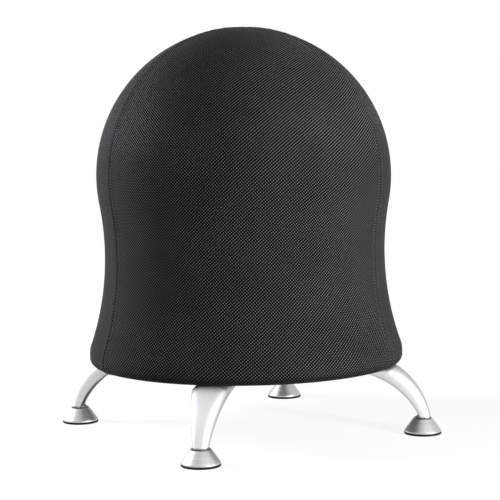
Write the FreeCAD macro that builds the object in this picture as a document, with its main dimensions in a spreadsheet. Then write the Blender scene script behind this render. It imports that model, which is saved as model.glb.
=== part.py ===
"""Balance ball chair: an inflated ball under a mesh cover, on a round base with four arched legs.

The origin is on the floor under the middle of the chair, +Z is up, and sizes are in millimetres.
The front leg points along -Y. An angle called a turn is measured from the front leg, seen from
above, anticlockwise, so that the leg at turn 90 points along +X.
"""
import FreeCAD, Part
import math
import os
from types import SimpleNamespace

import Sketcher

Vec = FreeCAD.Vector
UP = Vec(0, 0, 1)

# Driving sizes
SIZES = {
    # the whole chair
    "overall_height": 584.2,
    "foot_circle_radius": 259.04,
    # mesh cover, measured on its outer face
    "dome_radius": 213.4,
    "skirt_arc_radius": 400.0,
    "hem_radius": 228.0,
    "hem_height": 97.5,
    "hem_lower_round": 13.0,
    "hem_upper_round": 30.0,
    "hem_side": 6.6,
    "hem_turn_under": 20.0,
    "cover_thickness": 3.0,
    "cover_turn": 14.8,
    "front_panel_angle": 123.8,
    "soft_gap": 0.3,
    # inflated ball
    "ball_wall": 2.0,
    "ball_leave_angle": 0.6,
    "ball_heel_radius": 95.0,
    "ball_flat_share": 0.382,
    "plug_height": 240.0,
    "plug_radius": 4.6,
    "plug_clearance": 0.1,
    "plug_length": 13.0,
    "plug_flange_radius": 8.0,
    "plug_flange_thickness": 1.6,
    # base inside the cover
    "rim_width": 19.4,
    "board_thickness": 18.0,
    "rim_rise": 5.5,
    "mat_radius": 110.0,
    "mat_thickness": 5.0,
    # arched legs, drawn in the plane of a leg that points along +X
    "outer_arc_radius": 115.4,
    "toe_front": 12.2,
    "shoulder_inset": 42.0,
    "inner_arc_radius": 113.1,
    "toe_back": 2.5,
    "leg_lip": 0.5,
    "leg_root": 118.0,
    "taper_inset": 74.0,
    "root_half_width": 27.0,
    "toe_half_width": 9.2,
    "leg_side_wall": 3.5,
    "leg_back_wall": 3.0,
    "leg_plate": 4.0,
    "leg_edge_round": 8.0,
    "leg_root_round": 9.0,
    "leg_shoulder_round": 4.0,
    "lug_radius": 9.0,
    "lug_thickness": 2.5,
    # screws that hold the legs
    "bolt_radius": 3.0,
    "bolt_length": 25.0,
    "bolt_clearance": 0.3,
    "bolt_head_radius": 5.25,
    "bolt_head_height": 3.3,
    "bolt_socket_flats": 4.0,
    "bolt_socket_depth": 2.0,
    "washer_radius": 6.0,
    "washer_thickness": 1.6,
    "tee_flange_radius": 9.0,
    "tee_flange_thickness": 1.2,
    "tee_barrel_radius": 4.3,
    "tee_barrel_length": 10.0,
    "tee_clearance": 0.1,
    "inner_bolt_inset": 15.0,
    "inner_bolt_offset": 12.0,
    "outer_bolt_inset": 60.0,
    # levelling glides
    "pad_radius": 26.71,
    "pad_thickness": 3.0,
    "pad_chamfer": 0.5,
    "cone_base_radius": 26.2,
    "cone_lip": 2.0,
    "cone_top_radius": 14.0,
    "cone_height": 18.8,
    "cone_wall": 2.5,
    "cone_web": 10.0,
    "collar_radius": 12.6,
    "collar_thickness": 1.4,
    "seat_gap": 0.1,
    "stud_radius": 3.95,
    "stud_clearance": 0.05,
    "stud_flange_radius": 9.0,
    "stud_flange_thickness": 3.0,
    "stud_above_nut": 3.0,
    "nut_flats": 13.0,
    "nut_height": 4.0,
    # zip in the back seam
    "zip_head_gap": 27.1,
    "zip_foot_gap": 1.2,
    "zip_slot_half_width": 3.2,
    "coil_half_width": 2.6,
    "coil_proud": 0.2,
    "tape_half_width": 12.0,
    "tape_thickness": 0.8,
    "tape_offset": 0.6,
    "stop_length": 2.4,
    "slider_length": 13.0,
    "slider_width": 8.4,
    "slider_plate": 1.3,
    "slider_ride": 0.3,
    "slider_stop_gap": 0.3,
    "lug_height": 3.2,
    "lug_width": 1.1,
    "lug_spacing": 3.9,
    "pin_radius": 0.7,
    "pin_height": 1.9,
    "pin_clearance": 0.08,
    "tab_length": 27.0,
    "tab_width": 7.6,
    "tab_thickness": 1.4,
    "tab_eye_radius": 1.5,
    "tab_side_gap": 0.25,
}

LEG_TURNS = {"front": 0, "right": 90, "back": 180, "left": 270}

doc = FreeCAD.newDocument("BalanceBallChair")
sheet = doc.addObject("Spreadsheet::Sheet", "Sizes")
for row, (alias, number) in enumerate(SIZES.items(), start=1):
    sheet.set(f"A{row}", alias.replace("_", " "))
    sheet.set(f"B{row}", str(number))
    sheet.setAlias(f"B{row}", alias)
doc.recompute()


class Dim:
    """A size held twice: as a number, and as the expression that a feature is bound to."""

    def __init__(self, value, text):
        self.value = value
        self.text = text

    def joined(self, other, sign, value):
        other_text = other.text if isinstance(other, Dim) else str(other)
        return Dim(value, f"({self.text} {sign} {other_text})")

    def __add__(self, other):
        return self.joined(other, "+", self.value + number_of(other))

    def __sub__(self, other):
        return self.joined(other, "-", self.value - number_of(other))

    def __mul__(self, other):
        return self.joined(other, "*", self.value * number_of(other))

    def __truediv__(self, other):
        return self.joined(other, "/", self.value / number_of(other))

    def __neg__(self):
        return Dim(-self.value, f"(0 - {self.text})")

    def root(self):
        return Dim(math.sqrt(self.value), f"sqrt({self.text})")


def number_of(size):
    return size.value if isinstance(size, Dim) else size


NIL = Dim(0.0, "0")
cells = {alias: float(sheet.get(alias)) for alias in SIZES}
d = SimpleNamespace(**{alias: Dim(value, f"Sizes.{alias}") for alias, value in cells.items()})
v = SimpleNamespace(**cells)


def derive(**sizes):
    """Adds sizes worked out from others, under both d and v."""
    for name, size in sizes.items():
        setattr(d, name, size)
        setattr(v, name, size.value)


derive(
    bottom_panel_radius=d.hem_radius - d.hem_turn_under,
    board_radius=d.hem_radius - d.cover_thickness - d.rim_width - d.soft_gap * 2,
    inner_bolt_radius=d.leg_root + d.inner_bolt_inset,
    outer_bolt_radius=d.leg_root + d.outer_bolt_inset,
    foot_height=d.pad_thickness + d.cone_height + d.collar_thickness + d.seat_gap,
)


# a leg's outer arc runs from its toe to its shoulder, and its inner arc from the heel to the plate
derive(
    arch_top=d.hem_height - d.leg_plate - d.leg_lip,
    toe_reach=d.foot_circle_radius + d.toe_front,
    shoulder_reach=d.foot_circle_radius - d.shoulder_inset,
    leg_rise=d.hem_height - d.foot_height,
)
derive(
    leg_lean=d.toe_reach - d.shoulder_reach,
    inner_arc_drop=d.inner_arc_radius - d.arch_top,
)
derive(leg_chord=(d.leg_lean * d.leg_lean + d.leg_rise * d.leg_rise).root())
derive(outer_arc_depth=(d.outer_arc_radius * d.outer_arc_radius - d.leg_chord * d.leg_chord / 4).root())
derive(inner_sole_drop=d.foot_height + d.inner_arc_drop)
derive(inner_arc_reach=(d.inner_arc_radius * d.inner_arc_radius - d.inner_sole_drop * d.inner_sole_drop).root())
derive(
    outer_arc_centre=(d.toe_reach + d.shoulder_reach) / 2 - d.outer_arc_depth * d.leg_rise / d.leg_chord,
    outer_arc_drop=d.outer_arc_depth * d.leg_lean / d.leg_chord - (d.hem_height + d.foot_height) / 2,
    inner_arc_centre=d.foot_circle_radius - d.toe_back - d.inner_arc_reach,
    leg_reach=d.toe_reach + d.leg_side_wall,
    leg_taper_start=d.foot_circle_radius - d.taper_inset,
    leg_inner_round=d.leg_edge_round - d.leg_back_wall,
)

parts = []


def keep(thing):
    """Lists an object of the document as one sub-part, under its own label."""
    parts.append(thing)
    return thing


def bind(thing, **sizes):
    """Ties properties to cells of the sheet; a dot in a property's path is written as two underscores."""
    for path, size in sizes.items():
        thing.setExpression(path.replace("__", "."), size.text)


def out_from_axis(turn):
    """The level direction that points away from the chair's axis at a turn."""
    angle = math.radians(turn)
    return Vec(math.sin(angle), -math.cos(angle), 0)


def turned(turn):
    """The rotation that takes +X to the direction of a turn."""
    return FreeCAD.Rotation(UP, turn - 90)


# Sketches and bodies
def draw_outline(sketch, corners, arcs=None):
    """Closes a loop of lines and arcs through corners, given as pairs of Dim or plain number.

    A Dim is held by its expression. A plain number is only where the solver starts.
    arcs maps a side's index to (centre x, centre y, radius, anticlockwise).
    """
    arcs = arcs or {}
    sides = []
    for index, corner in enumerate(corners):
        ahead = corners[(index + 1) % len(corners)]
        start = Vec(number_of(corner[0]), number_of(corner[1]), 0)
        end = Vec(number_of(ahead[0]), number_of(ahead[1]), 0)
        if index not in arcs:
            sides.append((sketch.addGeometry(Part.LineSegment(start, end)), 1, 2))
            continue
        x, y, radius, anticlockwise = arcs[index]
        centre = Vec(x.value, y.value, 0)
        circle = Part.Circle(centre, UP, radius.value)
        first, last = (start, end) if anticlockwise else (end, start)
        angles = [math.atan2(point.y - centre.y, point.x - centre.x) for point in (first, last)]
        if angles[1] < angles[0]:
            angles[1] += 2 * math.pi
        side = sketch.addGeometry(Part.ArcOfCircle(circle, *angles))
        sides.append((side, 1, 2) if anticlockwise else (side, 2, 1))
        hold_point(sketch, side, 3, (x, y))
        hold_size(sketch, Sketcher.Constraint("Radius", side, radius.value), radius)
    for index, (side, start, end) in enumerate(sides):
        next_side, next_start, _ = sides[(index + 1) % len(sides)]
        sketch.addConstraint(Sketcher.Constraint("Coincident", side, end, next_side, next_start))
        hold_point(sketch, side, start, corners[index])


def draw_circle(sketch, x, y, radius):
    circle = sketch.addGeometry(Part.Circle(Vec(number_of(x), number_of(y), 0), UP, radius.value))
    hold_point(sketch, circle, 3, (x, y))
    hold_size(sketch, Sketcher.Constraint("Radius", circle, radius.value), radius)


def hold_size(sketch, constraint, size):
    index = sketch.addConstraint(constraint)
    sketch.renameConstraint(index, f"size{index}")
    sketch.setExpression(f"Constraints.size{index}", size.text)


def hold_point(sketch, side, end, point):
    """Holds each coordinate of a point that is a Dim, on an axis where it is nil."""
    for kind, axis, size in (("DistanceX", -2, point[0]), ("DistanceY", -1, point[1])):
        if not isinstance(size, Dim):
            continue
        if size is NIL:
            sketch.addConstraint(Sketcher.Constraint("PointOnObject", side, end, axis))
        else:
            hold_size(sketch, Sketcher.Constraint(kind, -1, 1, side, end, size.value), size)


def new_body(label):
    body = doc.addObject("PartDesign::Body", label)
    body.Label = label
    return body


def body_sketch(body, role, name):
    sketch = body.newObject("Sketcher::SketchObject", name)
    plane = next(feature for feature in body.Origin.OriginFeatures if feature.Role == role)
    sketch.AttachmentSupport = [(plane, "")]
    sketch.MapMode = "FlatFace"
    return sketch


def spun_body(label, corners):
    """A body of revolution about its own Z axis, from corners given as radius and height."""
    body = new_body(label)
    sketch = body_sketch(body, "XZ_Plane", f"{label}_profile")
    draw_outline(sketch, corners)
    spin = body.newObject("PartDesign::Revolution", f"{label}_spin")
    spin.Profile = sketch
    spin.ReferenceAxis = (sketch, ["V_Axis"])
    spin.Angle = 360
    return body


def pocket_from_top(body, sketch, depth, name):
    """Sinks a sketch into a body from its top face, or right through where depth is None."""
    pocket = body.newObject("PartDesign::Pocket", name)
    pocket.Profile = sketch
    pocket.Reversed = False
    if depth is None:
        pocket.Type = "ThroughAll"
        pocket.SideType = "Symmetric"
    else:
        bind(pocket, Length=depth)
    return pocket


def polar(body, feature, name):
    """Repeats a feature for the four legs."""
    doc.recompute()
    pattern = body.newObject("PartDesign::PolarPattern", name)
    pattern.Originals = [feature]
    axis = next(item for item in body.Origin.OriginFeatures if item.Role == "Z_Axis")
    pattern.Axis = (axis, [""])
    pattern.Angle = 360
    pattern.Occurrences = len(LEG_TURNS)
    body.Tip = pattern
    return pattern


def set_shape(label, shape):
    """A sub-part whose curved form is made with Part's own functions."""
    feature = doc.addObject("Part::Feature", label)
    feature.Label = label
    feature.Shape = shape
    return keep(feature)


def copies(label, master, places):
    """One node with a solid of the master at each place."""
    doc.recompute()
    solids = []
    for place in places:
        solid = master.Shape.copy()
        solid.Placement = place.multiply(solid.Placement)
        solids.append(solid)
    return set_shape(label, Part.makeCompound(solids))


# Circles and tangent arcs of the soft pieces, drawn in the half plane of radius and height
def flat(radius, height):
    return Vec(radius, 0, height)


def arc_edge(centre, radius, start, end):
    """An arc about a centre from one point to another, through the middle of the lesser turn."""
    middle = (start - centre).normalize() + (end - centre).normalize()
    through = centre + middle.normalize() * radius
    return Part.Arc(start, through, end).toShape()


def line_edge(start, end):
    return Part.LineSegment(start, end).toShape()


def spun_face(edges, start_turn, angle):
    """A closed outline revolved about the chair's axis from one turn through an angle."""
    face = Part.Face(Part.Wire(edges))
    face.rotate(Vec(), UP, start_turn - 90)
    return face.revolve(Vec(), UP, angle)


def meeting_point(first, first_reach, second, second_reach):
    """The point at given distances from two others, on the right of the way from first to second."""
    way = second - first
    along = (way.Length ** 2 + first_reach ** 2 - second_reach ** 2) / (2 * way.Length)
    aside = math.sqrt(first_reach ** 2 - along ** 2)
    way.normalize()
    return first + way * along + Vec(-way.z, 0, way.x) * aside


dome_centre = flat(0, v.overall_height - v.dome_radius)
hem_lower_centre = flat(v.hem_radius - v.hem_lower_round, v.hem_height + v.hem_lower_round)
hem_upper_centre = flat(v.hem_radius - v.hem_upper_round, hem_lower_centre.z + v.hem_side)
skirt_centre = meeting_point(
    dome_centre, v.dome_radius + v.skirt_arc_radius, hem_upper_centre, v.hem_upper_round + v.skirt_arc_radius
)


def cover_edges(inset, inner_radius):
    """The cover's outline at an inset from its outer face, from the crown down and in under the hem."""
    dome = v.dome_radius - inset
    skirt = v.skirt_arc_radius + inset
    upper = v.hem_upper_round - inset
    lower = v.hem_lower_round - inset
    crown = dome_centre + UP * dome
    shoulder = dome_centre + (skirt_centre - dome_centre).normalize() * dome
    foot = hem_upper_centre + (skirt_centre - hem_upper_centre).normalize() * upper
    side_top = hem_upper_centre + Vec(upper, 0, 0)
    side_low = hem_lower_centre + Vec(lower, 0, 0)
    under = hem_lower_centre - UP * lower
    edge = flat(inner_radius, under.z)
    return [
        arc_edge(dome_centre, dome, crown, shoulder),
        arc_edge(skirt_centre, skirt, shoulder, foot),
        arc_edge(hem_upper_centre, upper, foot, side_top),
        line_edge(side_top, side_low),
        arc_edge(hem_lower_centre, lower, side_low, under),
        line_edge(under, edge),
    ], crown, edge


def cover_panel_shape(start_turn, angle):
    """One sewn panel of the cover, a shell of even thickness between two upright seams."""
    outer, outer_crown, outer_edge = cover_edges(0, v.bottom_panel_radius)
    inner, inner_crown, inner_edge = cover_edges(v.cover_thickness, v.bottom_panel_radius)
    ends = [line_edge(outer_crown, inner_crown), line_edge(outer_edge, inner_edge)]
    return spun_face(Part.sortEdges(outer + inner + ends)[0], start_turn, angle)


# Zip, placed by an angle on the skirt's arc: nil at the waist, more going up
zip_turn = v.cover_turn + 180
zip_out = out_from_axis(zip_turn)
zip_side = UP.cross(zip_out)
zip_axis_point = zip_out * skirt_centre.x + UP * skirt_centre.z
hem_lean = math.asin((skirt_centre.z - hem_upper_centre.z) / (v.skirt_arc_radius + v.hem_upper_round))
dome_lean = math.asin((dome_centre.z - skirt_centre.z) / (v.dome_radius + v.skirt_arc_radius))


def along_skirt(length):
    """The angle on the skirt's arc that a length of the cloth covers."""
    return math.degrees(length / v.skirt_arc_radius)


zip_low = along_skirt(v.zip_foot_gap) - math.degrees(hem_lean)
zip_high = math.degrees(dome_lean) - along_skirt(v.zip_head_gap)
slider_room = along_skirt(v.stop_length + v.slider_stop_gap + v.slider_length / 2)
zip_rest = zip_high - slider_room
zip_travel = zip_rest - zip_low - slider_room


def zip_frame(angle):
    """The placement of a point on the skirt's face: X up the seam, Y across it, Z out of the cloth."""
    swing = FreeCAD.Rotation(zip_side, angle)
    upright = FreeCAD.Rotation(UP, zip_side, zip_out, "ZXY")
    base = zip_axis_point - swing.multVec(zip_out) * v.skirt_arc_radius
    return FreeCAD.Placement(base, swing.multiply(upright))


def zip_strip(half_width, low, high, low_angle, high_angle):
    """A strip that follows the seam between two heights above the cloth's face."""
    outline = Part.makePolygon([
        Vec(0, -half_width, low), Vec(0, half_width, low), Vec(0, half_width, high), Vec(0, -half_width, high),
        Vec(0, -half_width, low),
    ])
    face = Part.Face(outline)
    face.Placement = zip_frame(low_angle)
    return face.revolve(zip_axis_point, zip_side, high_angle - low_angle)


# Cover
def make_cover():
    side_angle = (360 - v.front_panel_angle) / 2
    first_seam = v.cover_turn - v.front_panel_angle / 2
    second_seam = v.cover_turn + v.front_panel_angle / 2
    slot = zip_strip(
        v.zip_slot_half_width, -2 * v.cover_thickness, v.cover_thickness, zip_low, zip_high
    )
    set_shape("cover_front_panel", cover_panel_shape(first_seam, v.front_panel_angle))
    set_shape("cover_right_panel", cover_panel_shape(second_seam, side_angle).cut(slot))
    set_shape("cover_left_panel", cover_panel_shape(zip_turn, side_angle).cut(slot))

    bottom = keep(new_body("cover_bottom_panel"))
    sketch = body_sketch(bottom, "XY_Plane", "bottom_panel_disc")
    draw_circle(sketch, NIL, NIL, d.bottom_panel_radius)
    pad = bottom.newObject("PartDesign::Pad", "bottom_panel_pad")
    pad.Profile = sketch
    bind(pad, Length=d.cover_thickness)
    leg_bolt_holes(bottom, "bottom_panel", d.bolt_radius + d.bolt_clearance, None)
    bind(bottom, Placement__Base__z=d.hem_height)


def leg_bolt_holes(body, name, radius, depth):
    """Three holes for each leg, sunk from the sketch plane of the body."""
    sketch = body_sketch(body, "XY_Plane", f"{name}_holes")
    draw_circle(sketch, d.outer_bolt_radius, NIL, radius)
    draw_circle(sketch, d.inner_bolt_radius, d.inner_bolt_offset, radius)
    draw_circle(sketch, d.inner_bolt_radius, -d.inner_bolt_offset, radius)
    pocket = pocket_from_top(body, sketch, depth, f"{name}_pocket")
    polar(body, pocket, f"{name}_pattern")


def bolt_places(height):
    """Where the leg bolts stand, at a height, for all four legs."""
    spots = [
        Vec(v.outer_bolt_radius, 0, height),
        Vec(v.inner_bolt_radius, v.inner_bolt_offset, height),
        Vec(v.inner_bolt_radius, -v.inner_bolt_offset, height),
    ]
    return [
        FreeCAD.Placement(turned(turn).multVec(spot), FreeCAD.Rotation())
        for turn in LEG_TURNS.values() for spot in spots
    ]


# Ball: the dome's circle, then a flatter flank, then a heel that is tangent to the mat
board_top = v.hem_height + v.cover_thickness + v.board_thickness
ball_floor = board_top + v.mat_thickness + v.soft_gap
ball_radius = v.dome_radius - v.cover_thickness - v.soft_gap
flank_fall = dome_lean + math.radians(v.ball_leave_angle)
flank_way = flat(math.cos(flank_fall), -math.sin(flank_fall))
flank_start = dome_centre + flank_way * ball_radius
straight_foot = flank_start.x - math.tan(flank_fall) * (flank_start.z - ball_floor)
heel_centre = flat(v.ball_flat_share * straight_foot, ball_floor + v.ball_heel_radius)
from_heel = flank_start - heel_centre
flank_radius = (from_heel.Length ** 2 - v.ball_heel_radius ** 2) / (2 * (from_heel * flank_way - v.ball_heel_radius))
flank_centre = flank_start - flank_way * flank_radius


def ball_edges(inset):
    """The ball's outline at an inset from its outer face."""
    dome = ball_radius - inset
    flank = flank_radius - inset
    heel = v.ball_heel_radius - inset
    crown = dome_centre + UP * dome
    side = dome_centre + flank_way * dome
    knee = flank_centre + (heel_centre - flank_centre).normalize() * flank
    under = heel_centre - UP * heel
    middle = flat(0, under.z)
    return [
        arc_edge(dome_centre, dome, crown, side),
        arc_edge(flank_centre, flank, side, knee),
        arc_edge(heel_centre, heel, knee, under),
        line_edge(under, middle),
        line_edge(middle, crown),
    ]


def make_ball():
    outer = spun_face(ball_edges(0), 0, 360)
    inner = spun_face(ball_edges(v.ball_wall), 0, 360)
    rise = (v.plug_height - flank_centre.z) / flank_radius
    lean = math.asin(rise)
    reach = flank_centre.x + flank_radius * math.cos(lean)
    plug_base = zip_out * reach + UP * v.plug_height
    plug_way = zip_out * math.cos(lean) + UP * rise
    hole = Part.makeCylinder(
        v.plug_radius + v.plug_clearance, 4 * v.ball_wall, plug_base - plug_way * 2 * v.ball_wall, plug_way
    )
    set_shape("ball_shell", outer.cut(inner).cut(hole))

    plug = keep(spun_body("ball_plug", [
        (NIL, -d.plug_length), (d.plug_radius * 0.7, -d.plug_length), (d.plug_radius, -d.ball_wall),
        (d.plug_radius, d.soft_gap), (d.plug_flange_radius, d.soft_gap),
        (d.plug_flange_radius, d.soft_gap + d.plug_flange_thickness), (NIL, d.soft_gap + d.plug_flange_thickness),
    ]))
    plug.Placement = FreeCAD.Placement(plug_base, FreeCAD.Rotation(UP, plug_way))


# Base: board, moulded rim and the mat under the ball
def make_base():
    board = keep(new_body("base_board"))
    sketch = body_sketch(board, "XY_Plane", "board_disc")
    draw_circle(sketch, NIL, NIL, d.board_radius)
    pad = board.newObject("PartDesign::Pad", "board_pad")
    pad.Profile = sketch
    pad.Reversed = True
    bind(pad, Length=d.board_thickness)
    leg_bolt_holes(board, "board", d.tee_barrel_radius + d.tee_clearance, None)
    leg_bolt_holes(board, "flange", d.tee_flange_radius + d.tee_clearance, d.tee_flange_thickness)
    bind(board, Placement__Base__z=d.hem_height + d.cover_thickness + d.board_thickness)

    inset = v.cover_thickness + v.soft_gap
    lower = v.hem_lower_round - inset
    upper = v.hem_upper_round - inset
    top = board_top + v.rim_rise
    side_low = hem_lower_centre + Vec(lower, 0, 0)
    side_top = hem_upper_centre + Vec(upper, 0, 0)
    above = top - hem_upper_centre.z
    outer_top = hem_upper_centre + flat(math.sqrt(upper ** 2 - above ** 2), above)
    under = hem_lower_centre - UP * lower
    bore = v.board_radius + v.soft_gap
    set_shape("base_rim", spun_face([
        line_edge(flat(bore, under.z), under),
        arc_edge(hem_lower_centre, lower, under, side_low),
        line_edge(side_low, side_top),
        arc_edge(hem_upper_centre, upper, side_top, outer_top),
        line_edge(outer_top, flat(bore, top)),
        line_edge(flat(bore, top), flat(bore, under.z)),
    ], 0, 360))

    mat = keep(doc.addObject("Part::Cylinder", "ball_mat"))
    mat.Label = "ball_mat"
    bind(mat, Radius=d.mat_radius, Height=d.mat_thickness,
         Placement__Base__z=d.hem_height + d.cover_thickness + d.board_thickness)


# Legs
def leg_sketch(name, standing):
    """A sketch in the plane of a leg, standing on edge or lying level."""
    sketch = doc.addObject("Sketcher::SketchObject", name)
    if standing:
        sketch.Placement = FreeCAD.Placement(Vec(), FreeCAD.Rotation(Vec(1, 0, 0), 90))
    return sketch


def on_arc(centre_x, drop, radius, height):
    """The radius at which an arc's outer side crosses a height."""
    return centre_x + math.sqrt(radius ** 2 - (height + drop) ** 2)


def thick_sketch(name, sketch, forward, reverse):
    """A sketch made solid along its own normal, both ways."""
    block = doc.addObject("Part::Extrusion", name)
    block.Base = sketch
    block.DirMode = "Normal"
    block.Solid = True
    bind(block, LengthFwd=forward, LengthRev=reverse)
    return block


def leg_plan(name, wall):
    """The outline of a leg from above, or of its hollow, a wall further in: parallel, then tapered."""
    plan = leg_sketch(name, False)
    root = d.root_half_width - wall
    toe = d.toe_half_width - wall
    draw_outline(plan, [
        (d.leg_root, -root), (d.leg_taper_start, -root), (d.leg_reach, -toe),
        (d.leg_reach, toe), (d.leg_taper_start, root), (d.leg_root, root),
    ])
    return thick_sketch(f"{name}_block", plan, d.hem_height * 2, NIL)


def long_outer_edges(shape, radius):
    """Numbers of the long edges that follow an arc concentric with the leg's outer one, off its middle."""
    numbers = []
    for number, edge in enumerate(shape.Edges, start=1):
        middle = edge.valueAt((edge.FirstParameter + edge.LastParameter) / 2)
        arched = on_arc(v.outer_arc_centre, v.outer_arc_drop, radius, middle.z)
        if abs(middle.y) > 1 and edge.BoundBox.ZLength > v.leg_plate and abs(middle.x - arched) < 0.5:
            numbers.append(number)
    return numbers


def leg_blank(name):
    """The outside of a leg: its arched side view cut to its plan view."""
    side = leg_sketch(f"{name}_side", True)
    outer = (d.outer_arc_centre, -d.outer_arc_drop, d.outer_arc_radius)
    inner = (d.inner_arc_centre, -d.inner_arc_drop, d.inner_arc_radius)
    sole = v.foot_height
    toe_x = on_arc(v.outer_arc_centre, v.outer_arc_drop, v.outer_arc_radius, sole)
    heel_x = on_arc(v.inner_arc_centre, v.inner_arc_drop, v.inner_arc_radius, sole)
    shoulder_x = on_arc(v.outer_arc_centre, v.outer_arc_drop, v.outer_arc_radius, v.hem_height)
    draw_outline(side, [
        (d.leg_root, d.hem_height), (shoulder_x, d.hem_height), (toe_x, d.foot_height), (heel_x, d.foot_height),
        (d.inner_arc_centre, v.arch_top), (d.leg_root, d.arch_top),
    ], {1: (*outer, False), 3: (*inner, True)})
    blank = doc.addObject("Part::MultiCommon", f"{name}_blank")
    blank.Shapes = [
        thick_sketch(f"{name}_side_block", side, d.root_half_width, d.root_half_width),
        leg_plan(f"{name}_plan", NIL),
    ]
    return blank


def leg_hollow(name):
    """The channel inside a leg, open towards the floor and the middle of the chair."""
    side = leg_sketch(f"{name}_hollow_side", True)
    radius = d.outer_arc_radius - d.leg_back_wall
    ceiling = d.hem_height - d.leg_plate
    floor = d.foot_height + d.lug_thickness
    high_x = on_arc(v.outer_arc_centre, v.outer_arc_drop, radius.value, ceiling.value)
    low_x = on_arc(v.outer_arc_centre, v.outer_arc_drop, radius.value, floor.value)
    inside = d.leg_root + d.leg_side_wall
    draw_outline(side, [(inside, ceiling), (high_x, ceiling), (low_x, floor), (inside, floor)],
                 {1: (d.outer_arc_centre, -d.outer_arc_drop, radius, False)})
    square = doc.addObject("Part::MultiCommon", f"{name}_hollow_square")
    square.Shapes = [
        thick_sketch(f"{name}_hollow_block", side, d.root_half_width, d.root_half_width),
        leg_plan(f"{name}_hollow_plan", d.leg_side_wall),
    ]
    doc.recompute()
    hollow = doc.addObject("Part::Fillet", f"{name}_hollow")
    hollow.Base = square
    inner_round = v.leg_inner_round
    hollow.Edges = [(number, inner_round, inner_round) for number in long_outer_edges(square.Shape, radius.value)]
    return hollow


def rounded_blank(name, blank):
    """Rounds the blank's long outer edges, its shoulder and the upright corners of its root."""
    doc.recompute()
    outer_edges = long_outer_edges(blank.Shape, v.outer_arc_radius)
    rounds = [(number, v.leg_edge_round, v.leg_edge_round) for number in outer_edges]
    for number, edge in enumerate(blank.Shape.Edges, start=1):
        low, high = edge.BoundBox.ZMin, edge.BoundBox.ZMax
        middle = edge.valueAt((edge.FirstParameter + edge.LastParameter) / 2)
        if edge.BoundBox.XMax < v.leg_root + 0.1 and high - low > v.leg_plate:
            rounds.append((number, v.leg_root_round, v.leg_root_round))
        elif abs(middle.y) < 0.1 and low > v.hem_height - 0.1 and middle.x > v.outer_bolt_radius:
            rounds.append((number, v.leg_shoulder_round, v.leg_shoulder_round))
    rounded = doc.addObject("Part::Fillet", f"{name}_rounded")
    rounded.Base = blank
    rounded.Edges = rounds
    return rounded


def upright_drill(name, x, y, radius, bottom, height):
    drill = doc.addObject("Part::Cylinder", name)
    bind(drill, Radius=radius, Height=height, Placement__Base__x=x, Placement__Base__y=y, Placement__Base__z=bottom)
    return drill


def make_leg(where, turn):
    name = f"leg_{where}"
    rounded = rounded_blank(name, leg_blank(name))
    shell = doc.addObject("Part::Cut", f"{name}_shell")
    shell.Base = rounded
    shell.Tool = leg_hollow(name)
    lug = upright_drill(f"{name}_lug", d.foot_circle_radius, NIL, d.lug_radius, d.foot_height, d.lug_thickness)
    whole = doc.addObject("Part::MultiFuse", f"{name}_whole")
    whole.Shapes = [shell, lug]
    whole.Refine = True
    hole = d.bolt_radius + d.bolt_clearance
    plate_low = d.hem_height - d.leg_plate * 1.5
    plate_span = d.leg_plate * 2
    drills = doc.addObject("Part::MultiFuse", f"{name}_drills")
    drills.Shapes = [
        upright_drill(f"{name}_hole_outer", d.outer_bolt_radius, NIL, hole, plate_low, plate_span),
        upright_drill(f"{name}_hole_one", d.inner_bolt_radius, d.inner_bolt_offset, hole, plate_low, plate_span),
        upright_drill(f"{name}_hole_two", d.inner_bolt_radius, -d.inner_bolt_offset, hole, plate_low, plate_span),
        upright_drill(f"{name}_hole_stud", d.foot_circle_radius, NIL, d.stud_radius + d.stud_clearance,
                      d.foot_height - d.lug_thickness, d.lug_thickness * 3),
    ]
    leg = keep(doc.addObject("Part::Cut", name))
    leg.Label = name
    leg.Base = whole
    leg.Tool = drills
    leg.Placement = FreeCAD.Placement(Vec(), turned(turn))


# Screws that hold the legs
def make_leg_screws():
    head_seat = d.hem_height - d.leg_plate - d.washer_thickness
    bolt = new_body("bolt_pattern_piece")
    sketch = body_sketch(bolt, "XZ_Plane", "bolt_profile")
    crown = d.bolt_head_radius * 0.55
    draw_outline(sketch, [
        (NIL, -d.bolt_head_height), (crown, -d.bolt_head_height), (d.bolt_head_radius, -d.bolt_head_height * 0.3),
        (d.bolt_head_radius, NIL), (d.bolt_radius, NIL), (d.bolt_radius, d.bolt_length), (NIL, d.bolt_length),
    ])
    spin = bolt.newObject("PartDesign::Revolution", "bolt_spin")
    spin.Profile = sketch
    spin.ReferenceAxis = (sketch, ["V_Axis"])
    spin.Angle = 360
    doc.recompute()
    socket = doc.addObject("Part::Prism", "bolt_socket")
    bind(socket, Circumradius=d.bolt_socket_flats / math.sqrt(3), Height=d.bolt_socket_depth * 2,
         Placement__Base__z=-d.bolt_head_height - d.bolt_socket_depth)
    socketed = doc.addObject("Part::Cut", "socketed_bolt")
    socketed.Base = bolt
    socketed.Tool = socket
    copies("leg_bolts", socketed, bolt_places(head_seat.value))

    washer = spun_body("washer_pattern_piece", [
        (d.bolt_radius + d.bolt_clearance, NIL), (d.washer_radius, NIL), (d.washer_radius, d.washer_thickness),
        (d.bolt_radius + d.bolt_clearance, d.washer_thickness),
    ])
    copies("leg_washers", washer, bolt_places(head_seat.value))

    bore = d.bolt_radius + d.tee_clearance
    tee = spun_body("tee_nut_pattern_piece", [
        (bore, NIL), (d.tee_flange_radius, NIL), (d.tee_flange_radius, -d.tee_flange_thickness),
        (d.tee_barrel_radius, -d.tee_flange_thickness), (d.tee_barrel_radius, -d.tee_barrel_length),
        (bore, -d.tee_barrel_length),
    ])
    copies("tee_nuts", tee, bolt_places(board_top))


# Levelling glides: each stud screws up through a leg's lug and a thin nut
def glide_place(turn, height):
    return FreeCAD.Placement(out_from_axis(turn) * v.foot_circle_radius + UP * height, turned(turn))


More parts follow.
